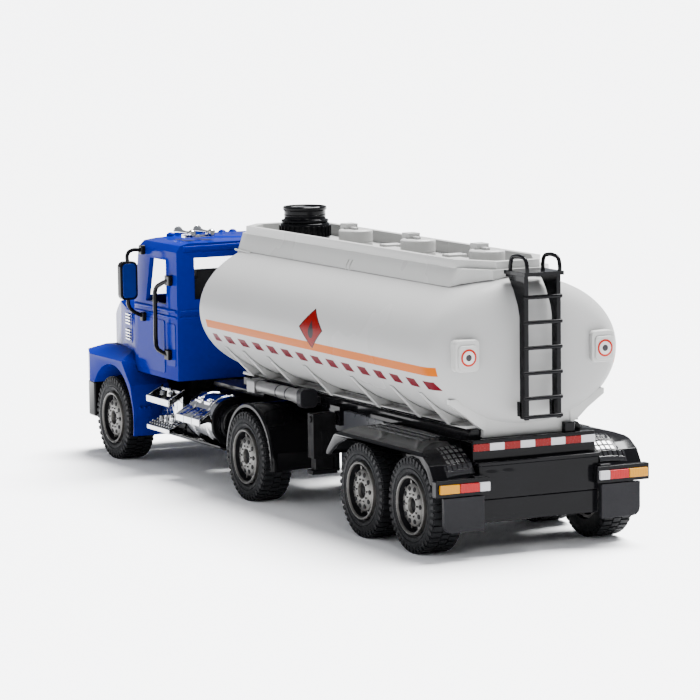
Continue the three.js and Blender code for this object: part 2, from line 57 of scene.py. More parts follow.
# ---------------------------------------------------------------- the studio
# A pale paper floor that runs far past the toy, a broad high sun over its right side, two weak
# soft boxes at its left and behind it, and an even white room. The camera is behind its left corner.
camera_place = Vector((-1.4345, 0.7193, 0.2557))
camera_yaw, camera_pitch, camera_roll = -26.856, 6.797, -0.729
yaw, pitch, roll = (math.radians(angle) for angle in (camera_yaw, camera_pitch, camera_roll))
ahead = Vector((math.cos(pitch) * math.cos(yaw), math.cos(pitch) * math.sin(yaw), -math.sin(pitch)))
right = ahead.cross(Vector((0, 0, 1))).normalized()
above = right.cross(ahead)
side = right * math.cos(roll) + above * math.sin(roll)
top = above * math.cos(roll) - right * math.sin(roll)
camera_data = bpy.data.cameras.new("camera")
camera_data.sensor_width = 36
camera_data.lens = 183.9
camera_data.clip_start = 0.05
camera = bpy.data.objects.new("camera", camera_data)
camera.matrix_world = Matrix.Translation(camera_place) @ Matrix((side, top, -ahead)).transposed().to_4x4()
bpy.context.collection.objects.link(camera)
bpy.context.scene.camera = camera

paper = bpy.data.materials.new("paper_sweep")
paper.use_nodes = True
paper_shader = paper.node_tree.nodes["Principled BSDF"]
paper_shader.inputs["Base Color"].default_value = (0.93, 0.935, 0.945, 1)
paper_shader.inputs["Roughness"].default_value = 0.62
paper_shader.inputs["Specular IOR Level"].default_value = 0.25
floor_grid = bmesh.new()
bmesh.ops.create_grid(floor_grid, x_segments=1, y_segments=1, size=40)
floor_mesh = bpy.data.meshes.new("paper_floor")
floor_grid.to_mesh(floor_mesh)
floor_grid.free()
floor_mesh.materials.append(paper)
floor = bpy.data.objects.new("paper_floor", floor_mesh)
bpy.context.collection.objects.link(floor)

room = bpy.data.worlds.new("white_room")
room.use_nodes = True
room.node_tree.nodes["Background"].inputs["Color"].default_value = (0.90, 0.93, 1.0, 1)
room.node_tree.nodes["Background"].inputs["Strength"].default_value = 0.5
bpy.context.scene.world = room
key_data = bpy.data.lights.new("key_over_far_side", "SUN")
key_data.energy = 24
key_data.angle = math.radians(38)
key = bpy.data.objects.new("key_over_far_side", key_data)
key.rotation_euler = Vector((-0.25, 0.62, -1.4)).to_track_quat("-Z", "Y").to_euler()
bpy.context.collection.objects.link(key)
for name, spot, target, size, power in (
        ("softbox_left", (-0.2, 1.5, 1.0), (0, 0, 0.05), (1.8, 0.5), 6),
        ("softbox_back", (-1.5, 0.35, 0.95), (-0.1, 0, 0.05), (0.45, 0.3), 7)):
    light_data = bpy.data.lights.new(name, "AREA")
    light_data.shape = "RECTANGLE"
    light_data.size, light_data.size_y = size
    light_data.energy = power
    light = bpy.data.objects.new(name, light_data)
    light.location = spot
    light.rotation_euler = (Vector(target) - Vector(spot)).to_track_quat("-Z", "Y").to_euler()
    bpy.context.collection.objects.link(light)

# ---------------------------------------------------------------- tyres
# Eight soft rubber tyres pressed over the hubs: a ribbed shoulder, a tread of staggered
# blocks round the rim, and a sunk bead line where the rubber meets the hub.
class Signal:
    """One output in a finish's node graph. Sums and products of signals add Math nodes."""

    def __init__(self, finish, socket):
        self.finish = finish
        self.socket = socket

    def maths(self, operation, *terms):
        return self.finish.node("ShaderNodeMath", {"operation": operation}, dict(enumerate(terms)))

    def __add__(self, other):
        return self.maths("ADD", self, other)

    def __sub__(self, other):
        return self.maths("SUBTRACT", self, other)

    def __rsub__(self, other):
        return self.maths("SUBTRACT", other, self)

    def __mul__(self, other):
        return self.maths("MULTIPLY", self, other)

    def __truediv__(self, other):
        return self.maths("DIVIDE", self, other)

    def __gt__(self, other):
        return self.maths("GREATER_THAN", self, other)

    def __lt__(self, other):
        return self.maths("LESS_THAN", self, other)

    def __abs__(self):
        return self.maths("ABSOLUTE", self)

    def __mod__(self, other):
        return self.maths("FLOORED_MODULO", self, other)

    __radd__ = __add__
    __rmul__ = __mul__


class Finish:
    """A procedural material built node by node round one Principled shader."""

    def __init__(self, name):
        self.material = bpy.data.materials.new(name)
        self.material.use_nodes = True
        self.tree = self.material.node_tree
        self.shader = self.tree.nodes["Principled BSDF"]
        self.point = self.node("ShaderNodeTexCoord", {}, {}, "Object")

    def node(self, kind, settings, inputs, output=0):
        made = self.tree.nodes.new(kind)
        for key, value in settings.items():
            if key == "stops":
                while len(made.color_ramp.elements) < len(value):
                    made.color_ramp.elements.new(1)
                for stop, (place, tint) in zip(made.color_ramp.elements, value):
                    stop.position = place
                    stop.color = (*tint, 1)
            else:
                setattr(made, key, value)
        for key, value in inputs.items():
            self.feed(made.inputs[key], value)
        return Signal(self, made.outputs[output])

    def feed(self, socket, value):
        if isinstance(value, Signal):
            self.tree.links.new(value.socket, socket)
        else:
            socket.default_value = value

    def set(self, **values):
        for key, value in values.items():
            self.feed(self.shader.inputs[key.replace("_", " ")], value)
        return self

    def noise(self, scale, detail=2, stretch=(1, 1, 1)):
        point = self.node("ShaderNodeMapping", {}, {"Vector": self.point, "Scale": stretch})
        return self.node("ShaderNodeTexNoise", {}, {"Vector": point, "Scale": scale, "Detail": detail})

    def blend(self, amount, low, high):
        low = low if isinstance(low, Signal) else (*low, 1)
        high = high if isinstance(high, Signal) else (*high, 1)
        return self.node("ShaderNodeMix", {"data_type": "RGBA"}, {"Factor": amount, 6: low, 7: high}, 2)

    def spread(self, value, low, high, new_low, new_high):
        return self.node("ShaderNodeMapRange", {}, {0: value, 1: low, 2: high, 3: new_low, 4: new_high})

    def axes(self):
        return [self.node("ShaderNodeSeparateXYZ", {}, {0: self.point}, axis) for axis in "XYZ"]

    def relief(self, height, depth, strength=1.0):
        bump = self.node("ShaderNodeBump", {}, {"Height": height, "Distance": depth,
                                                "Strength": strength})
        return self.set(Normal=bump)


tail_x = cad_box[0][0]
joined = 0.0005
axle_height = 20
sides = ((1, "left"), (-1, "right"))


def from_tail(metres):
    """A place along the length, in millimetres from the tail lamps."""
    return metres * 1000 - tail_x * 1000


def middle_x(node):
    """The middle of a CAD node along the length, in millimetres from the tail lamps."""
    low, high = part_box(node)
    return (low[0] + high[0]) * 500 - tail_x * 1000


def round_wheel(centre_x, step, count):
    """Carries a shape to one of a count of even places round a wheel's axle."""
    turn = Matrix.Rotation(2 * math.pi * step / count, 4, "Y")
    return Matrix.Translation((centre_x, 0, axle_height)) @ turn


def settle(bm, name, finish, body, nodes=(), bevel=0.0, segments=2, crease=32):
    """Turns a mesh worked in millimetres from the tail lamps into a finished piece on its body."""
    bmesh.ops.scale(bm, vec=(0.001, 0.001, 0.001), verts=bm.verts)
    bmesh.ops.translate(bm, vec=(tail_x, 0, 0), verts=bm.verts)
    for face in bm.faces:
        face.smooth = True
    for edge in bm.edges:
        sharp = len(edge.link_faces) == 2 and edge.calc_face_angle(0) > math.radians(crease)
        edge.smooth = not sharp or bevel > 0
    mesh = bpy.data.meshes.new(name)
    bm.to_mesh(mesh)
    bm.free()
    mesh.materials.append(finish.material)
    piece = bpy.data.objects.new(name, mesh)
    bpy.context.collection.objects.link(piece)
    if bevel:
        rounding = piece.modifiers.new("rounding", "BEVEL")
        rounding.width = bevel / 1000
        rounding.segments = segments
        rounding.limit_method = "ANGLE"
        rounding.angle_limit = math.radians(crease)
        rounding.harden_normals = True
    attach(piece, body)
    if nodes:
        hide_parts(*nodes)
    return piece


def turned(bm, profile, centre, axis="Y", steps=64):
    """Spins a profile of (radius, place along the axis) about an axis through centre."""
    along, out = {"X": ((1, 0, 0), (0, 0, 1)), "Y": ((0, 1, 0), (0, 0, 1)),
                  "Z": ((0, 0, 1), (1, 0, 0))}[axis]
    along, out, centre = Vector(along), Vector(out), Vector(centre)
    chain = [bm.verts.new(centre + out * r + along * h) for r, h in profile]
    edges = [bm.edges.new(pair) for pair in zip(chain, chain[1:])]
    bmesh.ops.spin(bm, geom=chain + edges, cent=centre, axis=along, dvec=(0, 0, 0),
                   angle=2 * math.pi, steps=steps, use_merge=True, use_duplicate=False)
    bmesh.ops.remove_doubles(bm, verts=bm.verts, dist=joined)


def tidy(bm):
    """Joins doubled vertices and points every face outwards."""
    bmesh.ops.remove_doubles(bm, verts=bm.verts, dist=joined)
    bmesh.ops.recalc_face_normals(bm, faces=bm.faces)
    return bm


def brick(bm, x, y, z):
    """A box by its low and high ends along each axis."""
    size = Matrix.Diagonal((x[1] - x[0], y[1] - y[0], z[1] - z[0], 1))
    place = Matrix.Translation(((x[0] + x[1]) / 2, (y[0] + y[1]) / 2, (z[0] + z[1]) / 2))
    return bmesh.ops.create_cube(bm, size=1, matrix=place @ size)["verts"]


def mirrored(bm, side):
    """The same mesh for the left side (1) or turned over for the right side (-1)."""
    if side < 0:
        bmesh.ops.scale(bm, vec=(1, -1, 1), verts=bm.verts)
        bmesh.ops.reverse_faces(bm, faces=bm.faces)
    return bm


tyre_rubber = Finish("tyre_rubber_moulded")
grain = tyre_rubber.noise(900, 3)
dust = tyre_rubber.noise(60, 4)
rubber_tint = tyre_rubber.blend(tyre_rubber.spread(dust, 0.35, 0.75, 0, 1), (0.004, 0.0042, 0.0048),
                                (0.009, 0.0095, 0.0105))
tyre_rubber.set(Base_Color=rubber_tint, Roughness=tyre_rubber.spread(grain, 0.3, 0.7, 0.5, 0.72))
tyre_rubber.relief(grain, 0.00012, 0.5)
tyre_rubber.set(Specular_IOR_Level=0.08)

tread_count = 42
tyre_bodies = {"front": ("wheel_front_left", "wheel_front_right"), "drive": ("drive_wheels",) * 2,
               "trailer_front": ("trailer_front_wheels",) * 2,
               "trailer_rear": ("trailer_rear_wheels",) * 2}
for axle, bodies in tyre_bodies.items():
    for side, body, hand in ((1, bodies[0], "left"), (-1, bodies[1], "right")):
        node = f"{axle}_tyre_{hand}"
        centre_x = middle_x(node)
        tyre = bmesh.new()
        profile = [(12.6, 33.9), (14.2, 33.6), (15.4, 33.5), (17.4, 33.6), (18.6, 34.0), (19.2, 34.9),
                   (19.3, 37), (19.3, 44), (19.2, 46.1), (18.6, 47.0), (17.8, 47.35), (17.4, 47.1),
                   (17.0, 47.4), (15.6, 47.5), (15.2, 47.2), (14.8, 47.45), (13.6, 47.2), (13.2, 46.6),
                   (12.6, 46.4), (12.6, 33.9)]
        turned(tyre, profile, (centre_x, 0, axle_height), "Y", 84)
        for block in range(tread_count):
            turn = round_wheel(centre_x, block, tread_count)
            for y0, y1, lag in ((34.3, 38.4, 0), (38.9, 42.2, 0.075), (42.7, 46.8, 0)):
                lug = brick(tyre, (-1.0, 1.0), (y0, y1), (18.6, 20.0))
                bmesh.ops.transform(tyre, matrix=turn @ Matrix.Rotation(lag, 4, "Y"), verts=lug)
            for y0, y1 in ((46.4, 47.4), (33.7, 34.7)):
                lug = brick(tyre, (-0.75, 0.75), (y0, y1), (16.9, 19.5))
                bmesh.ops.transform(tyre, matrix=turn, verts=lug)
        settle(mirrored(tidy(tyre), side), f"{node}_rubber", tyre_rubber, body, [node],
               crease=38)

# ---------------------------------------------------------------- wheel hubs and axles
# Moulded plastic wheel centres with a metallic grey coat: a flat disc with ten small nuts and ten
# flush black discs that are painted shade standing for holes, a groove lined with painted black shade
# and crossed by ten webs, a stepped rim, and a black cap in the middle that is painted shade of the
# centre recess. Each pair behind the front wheels is pushed onto one rod.
hole_count = 10
hub_coat = Finish("hub_metallic_coat")
flake = hub_coat.noise(2600, 2)
wear = hub_coat.noise(120, 3)
hub_tint = hub_coat.blend(hub_coat.spread(wear, 0.35, 0.7, 0, 1), (0.045, 0.043, 0.04),
                          (0.10, 0.097, 0.09))
hub_coat.set(Base_Color=hub_tint,
             Roughness=hub_coat.spread(flake, 0.3, 0.7, 0.3, 0.48), Metallic=0.55)
hub_coat.relief(flake, 0.00003, 0.4)
# Near-black finish: the own black of the landing legs, and painted shade for the hub holes, hub groove,
# hub centre and tail panel slots.
black_and_hole_shade = Finish("black_plastic_and_painted_hole_shade")
soot = black_and_hole_shade.noise(300, 3)
black_and_hole_shade.set(Base_Color=black_and_hole_shade.blend(soot, (0.002, 0.002, 0.002), (0.008, 0.008, 0.009)),
             Roughness=black_and_hole_shade.spread(soot, 0.3, 0.7, 0.35, 0.6), Specular_IOR_Level=0.02)
black_and_hole_shade.relief(soot, 0.00005, 0.3)
for axle, bodies in tyre_bodies.items():
    for side, body, hand in ((1, bodies[0], "left"), (-1, bodies[1], "right")):
        centre_x = middle_x(f"{axle}_tyre_{hand}")
        hub = bmesh.new()
        rim = [(3.0, 44.6), (3.1, 46.4), (3.5, 47.0), (4.2, 47.1), (8.3, 46.6), (8.8, 46.2), (9.1, 44.4),
               (10.3, 44.2), (10.8, 45.8), (11.1, 47.4), (11.4, 47.95), (11.8, 48.1), (12.25, 47.9),
               (12.3, 47.0), (12.3, 35.3), (10.9, 35.3), (10.6, 41.4), (3.0, 42.2), (2.1, 42.2),
               (2.1, 35.0)]
        turned(hub, rim, (centre_x, 0, axle_height), "Y", 60)
        for nut in range(hole_count):
            place = round_wheel(centre_x, nut, hole_count)
            bmesh.ops.create_cone(hub, cap_ends=True, segments=6, radius1=0.5, radius2=0.4, depth=1.0,
                                  matrix=place @ Matrix.Translation((4.7, 47.1, 0))
                                  @ Matrix.Rotation(-math.pi / 2, 4, "X"))
            boss = brick(hub, (-0.5, 0.5), (43.6, 45.6), (8.6, 10.9))
            bmesh.ops.transform(hub, matrix=place @ Matrix.Rotation(math.pi / hole_count, 4, "Y"),
                                verts=boss)
        settle(mirrored(tidy(hub), side), f"{axle}_wheel_centre_{hand}", hub_coat, body,
               crease=34)
        # Black discs flush with the hub disc are painted shade standing for ten holes; the black groove
        # lining and black centre cap are painted shade of the groove and the centre recess.
        hub_shade_pieces = bmesh.new()
        for hole in range(hole_count):
            place = round_wheel(centre_x, hole, hole_count)
            bmesh.ops.create_cone(hub_shade_pieces, cap_ends=True, segments=20, radius1=1.05, radius2=1.0, depth=0.5,
                                  matrix=place @ Matrix.Translation((6.9, 46.72, 0))
                                  @ Matrix.Rotation(-math.pi / 2, 4, "X"))
        cap = [(0, 46.2), (1.6, 46.2), (2.2, 45.8), (2.9, 45.7), (3.05, 45.2), (3.05, 44.4), (0, 44.2)]
        turned(hub_shade_pieces, [(9.0, 44.7), (10.15, 44.6), (10.65, 45.9), (10.98, 47.35), (11.06, 47.35),
                       (10.85, 45.8), (10.35, 44.2), (9.0, 44.2), (9.0, 44.7)],
               (centre_x, 0, axle_height), "Y", 60)
        turned(hub_shade_pieces, cap, (centre_x, 0, axle_height), "Y", 40)
        settle(mirrored(tidy(hub_shade_pieces), side), f"{axle}_hub_painted_shade_{hand}", black_and_hole_shade, body,
               crease=34)
for axle, body in (("drive", "drive_wheels"), ("trailer_front", "trailer_front_wheels"),
                   ("trailer_rear", "trailer_rear_wheels")):
    centre_x = middle_x(f"{axle}_axle")
    rod = bmesh.new()
    turned(rod, [(0, -42.3), (1.9, -42.3), (2, -42.1), (2, 42.1), (1.9, 42.3), (0, 42.3)],
           (centre_x, 0, axle_height), "Y", 32)
    settle(tidy(rod), f"{axle}_rod", hub_coat, body, [f"{axle}_axle"], crease=34)
for hand in ("left", "right"):
    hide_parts(f"front_hub_{hand}")

# ---------------------------------------------------------------- frames and running gear
# The long members, cross pieces, steering knuckles, tie rod and axle beam are plain
# moulded black plastic under the toy; the kingpin is turned steel.
black_gloss = Finish("black_moulded_gloss")
ripple = black_gloss.noise(160, 2)
haze = black_gloss.noise(45, 4)
black_gloss.set(Base_Color=black_gloss.blend(haze, (0.0015, 0.0015, 0.0018), (0.004, 0.004, 0.0048)),
                Roughness=black_gloss.spread(haze, 0.3, 0.75, 0.07, 0.16), Specular_IOR_Level=0.06)
black_gloss.relief(ripple, 0.0003, 0.12)
black_satin = Finish("black_moulded_satin")
tooth = black_satin.noise(1500, 2)
bloom = black_satin.noise(70, 4)
black_satin.set(Base_Color=black_satin.blend(bloom, (0.004, 0.004, 0.005), (0.010, 0.010, 0.012)),
                Roughness=black_satin.spread(tooth, 0.3, 0.7, 0.42, 0.6), Specular_IOR_Level=0.1)
black_satin.relief(tooth, 0.00005, 0.4)
turned_steel = Finish("turned_steel")
lathe_marks = turned_steel.noise(400, 2, (1, 1, 12))
turned_steel.set(Base_Color=turned_steel.blend(lathe_marks, (0.42, 0.42, 0.43), (0.62, 0.62, 0.62)),
                 Metallic=1, Roughness=turned_steel.spread(lathe_marks, 0.3, 0.7, 0.25, 0.45))
turned_steel.relief(lathe_marks, 0.00003, 0.4)
for node, finish in (("tractor_frame", black_gloss), ("trailer_frame", black_gloss),
                     ("front_axle_beam", black_gloss), ("steering_knuckle_left", black_satin),
                     ("steering_knuckle_right", black_satin), ("tie_rod", black_satin),
                     ("fifth_wheel", black_satin), ("filler_plug", black_satin),
                     ("kingpin", turned_steel)):
    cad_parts[node].material_slots[0].material = finish.material

# ---------------------------------------------------------------- cab shell
# One blue moulding with thin walls: rounded roof, open door and back windows with raised
# lips, two belt mouldings, a rain gutter, raised door skins and five domed roof lamps.
cab_blue = Finish("cab_blue_gloss")
cloud = cab_blue.noise(30, 3)
peel = cab_blue.noise(420, 2)
cab_blue.set(Base_Color=cab_blue.blend(cloud, (0.0, 0.0045, 0.115), (0.0, 0.0065, 0.155)),
             Roughness=cab_blue.spread(cloud, 0.3, 0.7, 0.12, 0.2), Specular_IOR_Level=0.018)
cab_blue.relief(peel, 0.00012, 0.12)


def from_node(node, flat=4):
    """A merged copy of a CAD node in working millimetres, with its flat facets joined."""
    copy = bmesh.new()
    copy.from_mesh(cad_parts[node].data)
    bmesh.ops.remove_doubles(copy, verts=copy.verts, dist=0.00001)
    bmesh.ops.translate(copy, vec=(-tail_x, 0, 0), verts=copy.verts)
    bmesh.ops.scale(copy, vec=(1000, 1000, 1000), verts=copy.verts)
    bmesh.ops.dissolve_limit(copy, angle_limit=math.radians(flat), verts=copy.verts, edges=copy.edges)
    return copy


def flat_face(bm, outline, plane, low, high):
    """A face in the xz or yz plane at low, and the step across that plane to high."""
    spots = [(a, low, b) if plane == "xz" else (low, a, b) for a, b in outline]
    step = (0, high - low, 0) if plane == "xz" else (high - low, 0, 0)
    return bm.faces.new([bm.verts.new(spot) for spot in spots]), step


def grow(bm, faces, step):
    """Extrudes faces by one step and gives back the new vertices."""
    grown = bmesh.ops.extrude_face_region(bm, geom=faces)["geom"]
    moved = [item for item in grown if isinstance(item, bmesh.types.BMVert)]
    bmesh.ops.translate(bm, vec=step, verts=moved)
    return moved


def plate(bm, outline, plane, low, high):
    """A flat outline in the xz or yz plane, given thickness from low to high across it."""
    face, step = flat_face(bm, outline, plane, low, high)
    moved = grow(bm, [face], step)
    return list(face.verts) + moved


def lip(bm, outline, plane, low, high, width):
    """A flat ring of one width inside an outline, given thickness from low to high."""
    face, step = flat_face(bm, outline, plane, low, high)
    bm.normal_update()
    rim = bmesh.ops.inset_region(bm, faces=[face], thickness=width, use_even_offset=True)["faces"]
    bmesh.ops.delete(bm, geom=[face], context="FACES")
    grow(bm, rim, step)


def rounded(a0, a1, b0, b1, radius, steps=5):
    """A rectangle with rounded corners, as an outline."""
    corners = ((a1 - radius, b1 - radius, 0), (a0 + radius, b1 - radius, 90),
               (a0 + radius, b0 + radius, 180), (a1 - radius, b0 + radius, 270))
    outline = []
    for across, up, start in corners:
        for step in range(steps + 1):
            angle = math.radians(start + 90 * step / steps)
            outline.append((across + radius * math.cos(angle), up + radius * math.sin(angle)))
    return outline


def bent_rod(bm, points, radius, closed=False, fine=3):
    """A round rod along points, with rounded bends."""
    curve = bpy.data.curves.new("rod_path", "CURVE")
    curve.dimensions = "3D"
    curve.bevel_depth = radius
    curve.bevel_resolution = fine
    curve.resolution_u = 6
    curve.use_fill_caps = True
    spline = curve.splines.new("BEZIER")
    spline.bezier_points.add(len(points) - 1)
    spline.use_cyclic_u = closed
    for knot, point in zip(spline.bezier_points, points):
        knot.co = point
        knot.handle_left_type = knot.handle_right_type = "AUTO"
    holder = bpy.data.objects.new("rod_path", curve)
    bpy.context.collection.objects.link(holder)
    bpy.context.view_layer.update()
    made = bpy.data.meshes.new_from_object(holder.evaluated_get(bpy.context.evaluated_depsgraph_get()))
    bm.from_mesh(made)
    bpy.data.objects.remove(holder)
    bpy.data.curves.remove(curve)
    bpy.data.meshes.remove(made)


cab_rear = from_tail(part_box("cab_shell")[0][0])
cab_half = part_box("cab_shell")[1][1] * 1000
settle(tidy(from_node("cab_shell", 7)), "cab_moulding", cab_blue, "tractor", ["cab_shell"],
       bevel=1.0, segments=4, crease=24)
trim = bmesh.new()
for y in (-27, -5.6, 0, 5.6, 27):
    turned(trim, [(2.2, 104), (2.2, 108.8), (2.05, 109.6), (1.5, 110.3), (0.8, 110.7), (0, 110.8)],
           (309.5, y, 0), "Z", 24)
for side in (1, -1):
    outer = cab_half * side
    for z, proud in ((76.6, 1.0), (73.6, 0.8)):
        bent_rod(trim, [(cab_rear + 1, outer - side * 0.3, z), (296, outer - side * 0.3, z),
                        (321, outer - side * 0.3, z)], proud)
    lip(trim, [(283.3, 77.9), (309.8, 77.9), (303.3, 101.1), (283.3, 101.1)], "xz", outer - side * 0.2,
        outer + side * 0.55, 1.2)
    plate(trim, rounded(286.6, 317.6, 46.4, 71.4, 1.5), "xz", outer - side * 0.2, outer + side * 0.4)
    plate(trim, rounded(274.4, 284.4, 50.4, 70.6, 1.2), "xz", outer - side * 0.2, outer + side * 0.35)
for z in (76.6, 73.6):
    bent_rod(trim, [(cab_rear, -40, z), (cab_rear, 0, z), (cab_rear, 40, z)], 0.7)
for z, proud in ((106.2, 1.25), (103.9, 0.7)):
    bent_rod(trim, [(cab_rear + 0.4, -37.5, z), (cab_rear + 0.4, 0, z + 0.3), (cab_rear + 0.4, 37.5, z)],
             proud)
lip(trim, rounded(-33.6, 33.6, 80.6, 102.6, 3.2), "yz", cab_rear + 0.2, cab_rear - 0.7, 1.7)
lip(trim, rounded(-31, 31, 47.6, 60.6, 1.2), "yz", cab_rear + 0.2, cab_rear - 0.45, 0.9)
settle(tidy(trim), "cab_trim", cab_blue, "tractor", bevel=0.22, segments=2, crease=40)

# ---------------------------------------------------------------- cab inside and windscreen
# Black seats, bench, dashboard and a steering wheel moulded as one tray that clips in from
# below; the windscreen is a clear press-in pane.
seat_black = Finish("seat_black_satin")
weave = seat_black.noise(1100, 2)
seat_black.set(Base_Color=seat_black.blend(weave, (0.003, 0.003, 0.0035), (0.008, 0.008, 0.009)),
               Roughness=seat_black.spread(weave, 0.3, 0.7, 0.4, 0.6), Specular_IOR_Level=0.1)
seat_black.relief(weave, 0.00006, 0.5)
settle(tidy(from_node("cab_interior")), "cab_tray", seat_black, "tractor", ["cab_interior"],
       bevel=1.6, segments=4, crease=30)
wheel = bmesh.new()
turned(wheel, [(6.9, 0), (7.3, 0.55), (7.9, 0.55), (8.2, 0), (7.9, -0.55), (7.3, -0.55), (6.9, 0)],
       (0, 0, 0), "Z", 36)
turned(wheel, [(0, 0.7), (1.8, 0.5), (2.1, -0.6), (0, -0.8)], (0, 0, 0), "Z", 24)
for spoke in range(3):
    arm = brick(wheel, (1.2, 7.2), (-0.6, 0.6), (-0.4, 0.2))
    bmesh.ops.transform(wheel, matrix=Matrix.Rotation(2 * math.pi * spoke / 3, 4, "Z"), verts=arm)
tidy(wheel)
bmesh.ops.transform(wheel, matrix=Matrix.Translation((303.5, 19, 76.5))
                    @ Matrix.Rotation(math.radians(-48), 4, "Y"), verts=wheel.verts)
brick(wheel, (303.5, 309), (18.3, 19.7), (73.2, 75.2))
settle(wheel, "steering_wheel", seat_black, "tractor", crease=36)
clear = Finish("clear_moulded")
smear = clear.noise(60, 3)
clear.set(Base_Color=clear.blend(smear, (0.86, 0.9, 0.93), (0.93, 0.95, 0.97)),
          Roughness=clear.spread(smear, 0.3, 0.7, 0.03, 0.1), Alpha=0.22)
clear.relief(smear, 0.0001, 0.05)
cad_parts["windscreen"].material_slots[0].material = clear.material

# ---------------------------------------------------------------- bonnet and front wings
# One blue moulding: rounded bonnet, flat-topped wings with a crease over each wheel arch,
# rivet heads on the wing's back, and a pair of plated louvres clipped into each side.
settle(tidy(from_node("bonnet_and_wings", 3)), "bonnet_moulding", cab_blue, "tractor",
       ["bonnet_and_wings"], bevel=1.1, segments=4, crease=20)


def onto_bonnet(side, out):
    """Carries a shape laid at y 0 onto a bonnet side, which closes in towards the front."""
    louvre_x = 337
    turn = Matrix.Rotation(side * math.radians(-8), 4, "Z")
    return Matrix.Translation((louvre_x, side * out, 0)) @ turn @ Matrix.Translation((-louvre_x, 0, 0))


bonnet_trim = bmesh.new()
for side in (1, -1):
    for y in (44.6, 42.1, 39.6):
        turned(bonnet_trim, [(0.75, 0.3), (0.75, -0.2), (0.5, -0.5), (0, -0.6)], (309.3, side * y, 27.5),
               "X", 16)
    rim = plate(bonnet_trim, rounded(331.6, 343.2, 56, 71.6, 1), "xz", 0, side * 0.5)
    bmesh.ops.transform(bonnet_trim, matrix=onto_bonnet(side, 37.1), verts=rim)
settle(tidy(bonnet_trim), "bonnet_trim", cab_blue, "tractor", bevel=0.15, crease=40)
chrome = Finish("bright_plating")
wave = chrome.noise(140, 3)
speck = chrome.noise(900, 2)
chrome.set(Base_Color=chrome.blend(wave, (0.30, 0.305, 0.315), (0.62, 0.625, 0.635)), Metallic=1,
           Roughness=chrome.spread(speck, 0.3, 0.75, 0.05, 0.16))
chrome.relief(wave, 0.0012, 0.5)
louvres = bmesh.new()
for side in (1, -1):
    for low_z in (57.2, 64.8):
        for fin in range(4):
            fin_z = low_z + fin * 1.45
            blade = brick(louvres, (332.8, 340.4), sorted((0, side * 1.1)), (fin_z, fin_z + 0.85))
            bmesh.ops.transform(louvres, matrix=onto_bonnet(side, 37.4), verts=blade)
settle(louvres, "bonnet_louvres", chrome, "tractor", bevel=0.2, crease=40)

# ---------------------------------------------------------------- grille, headlamps and bumper
# A black slatted grille with plated bars, clear lamp lenses over plated bowls, and a deep
# black bumper with an air slot and two fog lamps.
settle(tidy(from_node("grille")), "grille_plate", black_gloss, "tractor", ["grille"],
       bevel=0.25, crease=40)
bars = bmesh.new()
for row in range(5):
    brick(bars, (376.2, 377.4), (-18.6, 18.6), (39.4 + row * 3.8, 40.4 + row * 3.8))
for side in (1, -1):
    turned(bars, [(0, 374.4), (2.9, 375.2), (3.3, 376.2), (3.5, 376.2), (3.5, 374.2)],
           (0, side * 33, 42.3), "X", 32)
    turned(bars, [(0, 374.4), (1.6, 375.0), (2.0, 376.0), (2.2, 374.2)], (0, side * 38, 42.3), "X", 24)
settle(tidy(bars), "grille_bars", chrome, "tractor", crease=36)
for hand in ("left", "right"):
    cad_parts[f"headlamp_{hand}"].material_slots[0].material = clear.material
settle(tidy(from_node("front_bumper", 6)), "bumper_moulding", black_gloss, "tractor",
       ["front_bumper"], bevel=1.2, segments=3, crease=30)

# ---------------------------------------------------------------- mirrors and grab handles
# Black moulded mirror heads on bent arms, each with a glossy blue insert in a black rim,
# and a bent grab rail behind each door on two square feet.
mirror_blue = Finish("mirror_insert_blue")
glaze = mirror_blue.noise(50, 2)
mirror_blue.set(Base_Color=mirror_blue.blend(glaze, (0.0, 0.005, 0.06), (0.0, 0.012, 0.13)),
                Roughness=mirror_blue.spread(glaze, 0.3, 0.7, 0.05, 0.12), Specular_IOR_Level=0.1)
mirror_blue.relief(glaze, 0.0008, 0.3)
for side, hand in sides:
    mirror = bmesh.new()
    plate(mirror, rounded(45.3, 54.3, 79.7, 98.1, 2.6), "yz", 307.4, 311.2)
    lip(mirror, rounded(45.3, 54.3, 79.7, 98.1, 2.6), "yz", 307.6, 306.6, 1.15)
    settle(mirrored(tidy(mirror), side), f"mirror_head_{hand}", black_gloss, "tractor",
           [f"mirror_{hand}"], bevel=0.45, segments=3, crease=40)
    face = bmesh.new()
    plate(face, rounded(46.4, 53.2, 80.8, 97.0, 1.8), "yz", 307.0, 307.6)
    settle(mirrored(tidy(face), side), f"mirror_insert_{hand}", mirror_blue, "tractor",
           bevel=0.25, crease=40)
    arms = bmesh.new()
    bent_rod(arms, [(309, 42.2, 103), (309, 47.6, 103.2), (309, 49.7, 101.6), (309, 49.8, 97)], 0.95,
             fine=4)
    bent_rod(arms, [(309, 49.8, 80.4), (309, 49.7, 77.2), (309, 48.4, 75), (309, 42.2, 71.4)], 0.95,
             fine=4)
    bent_rod(arms, [(278.6, 42.6, 91), (284, 44, 89), (288, 44.8, 86.4), (288.8, 44.8, 82),
                    (288.8, 44.8, 72), (288.8, 44.8, 61.5), (288, 44.7, 58.6), (284.5, 43.8, 56.8),
                    (280.6, 42.6, 55.8)], 1.05, fine=4)
    settle(mirrored(tidy(arms), side), f"mirror_arms_and_rail_{hand}", black_gloss, "tractor",
           [f"grab_handle_{hand}"], crease=50)
    feet = bmesh.new()
    for x0, x1, z0, z1 in ((307.2, 310.8, 101, 105.4), (307.2, 310.8, 69.2, 73.4), (276, 281, 88.6, 93.4),
                           (278, 283, 53.4, 58.2)):
        brick(feet, (x0, x1), (41.2, 43.4), (z0, z1))
    settle(mirrored(feet, side), f"mirror_and_rail_feet_{hand}", black_gloss, "tractor",
           bevel=0.5, segments=3, crease=40)

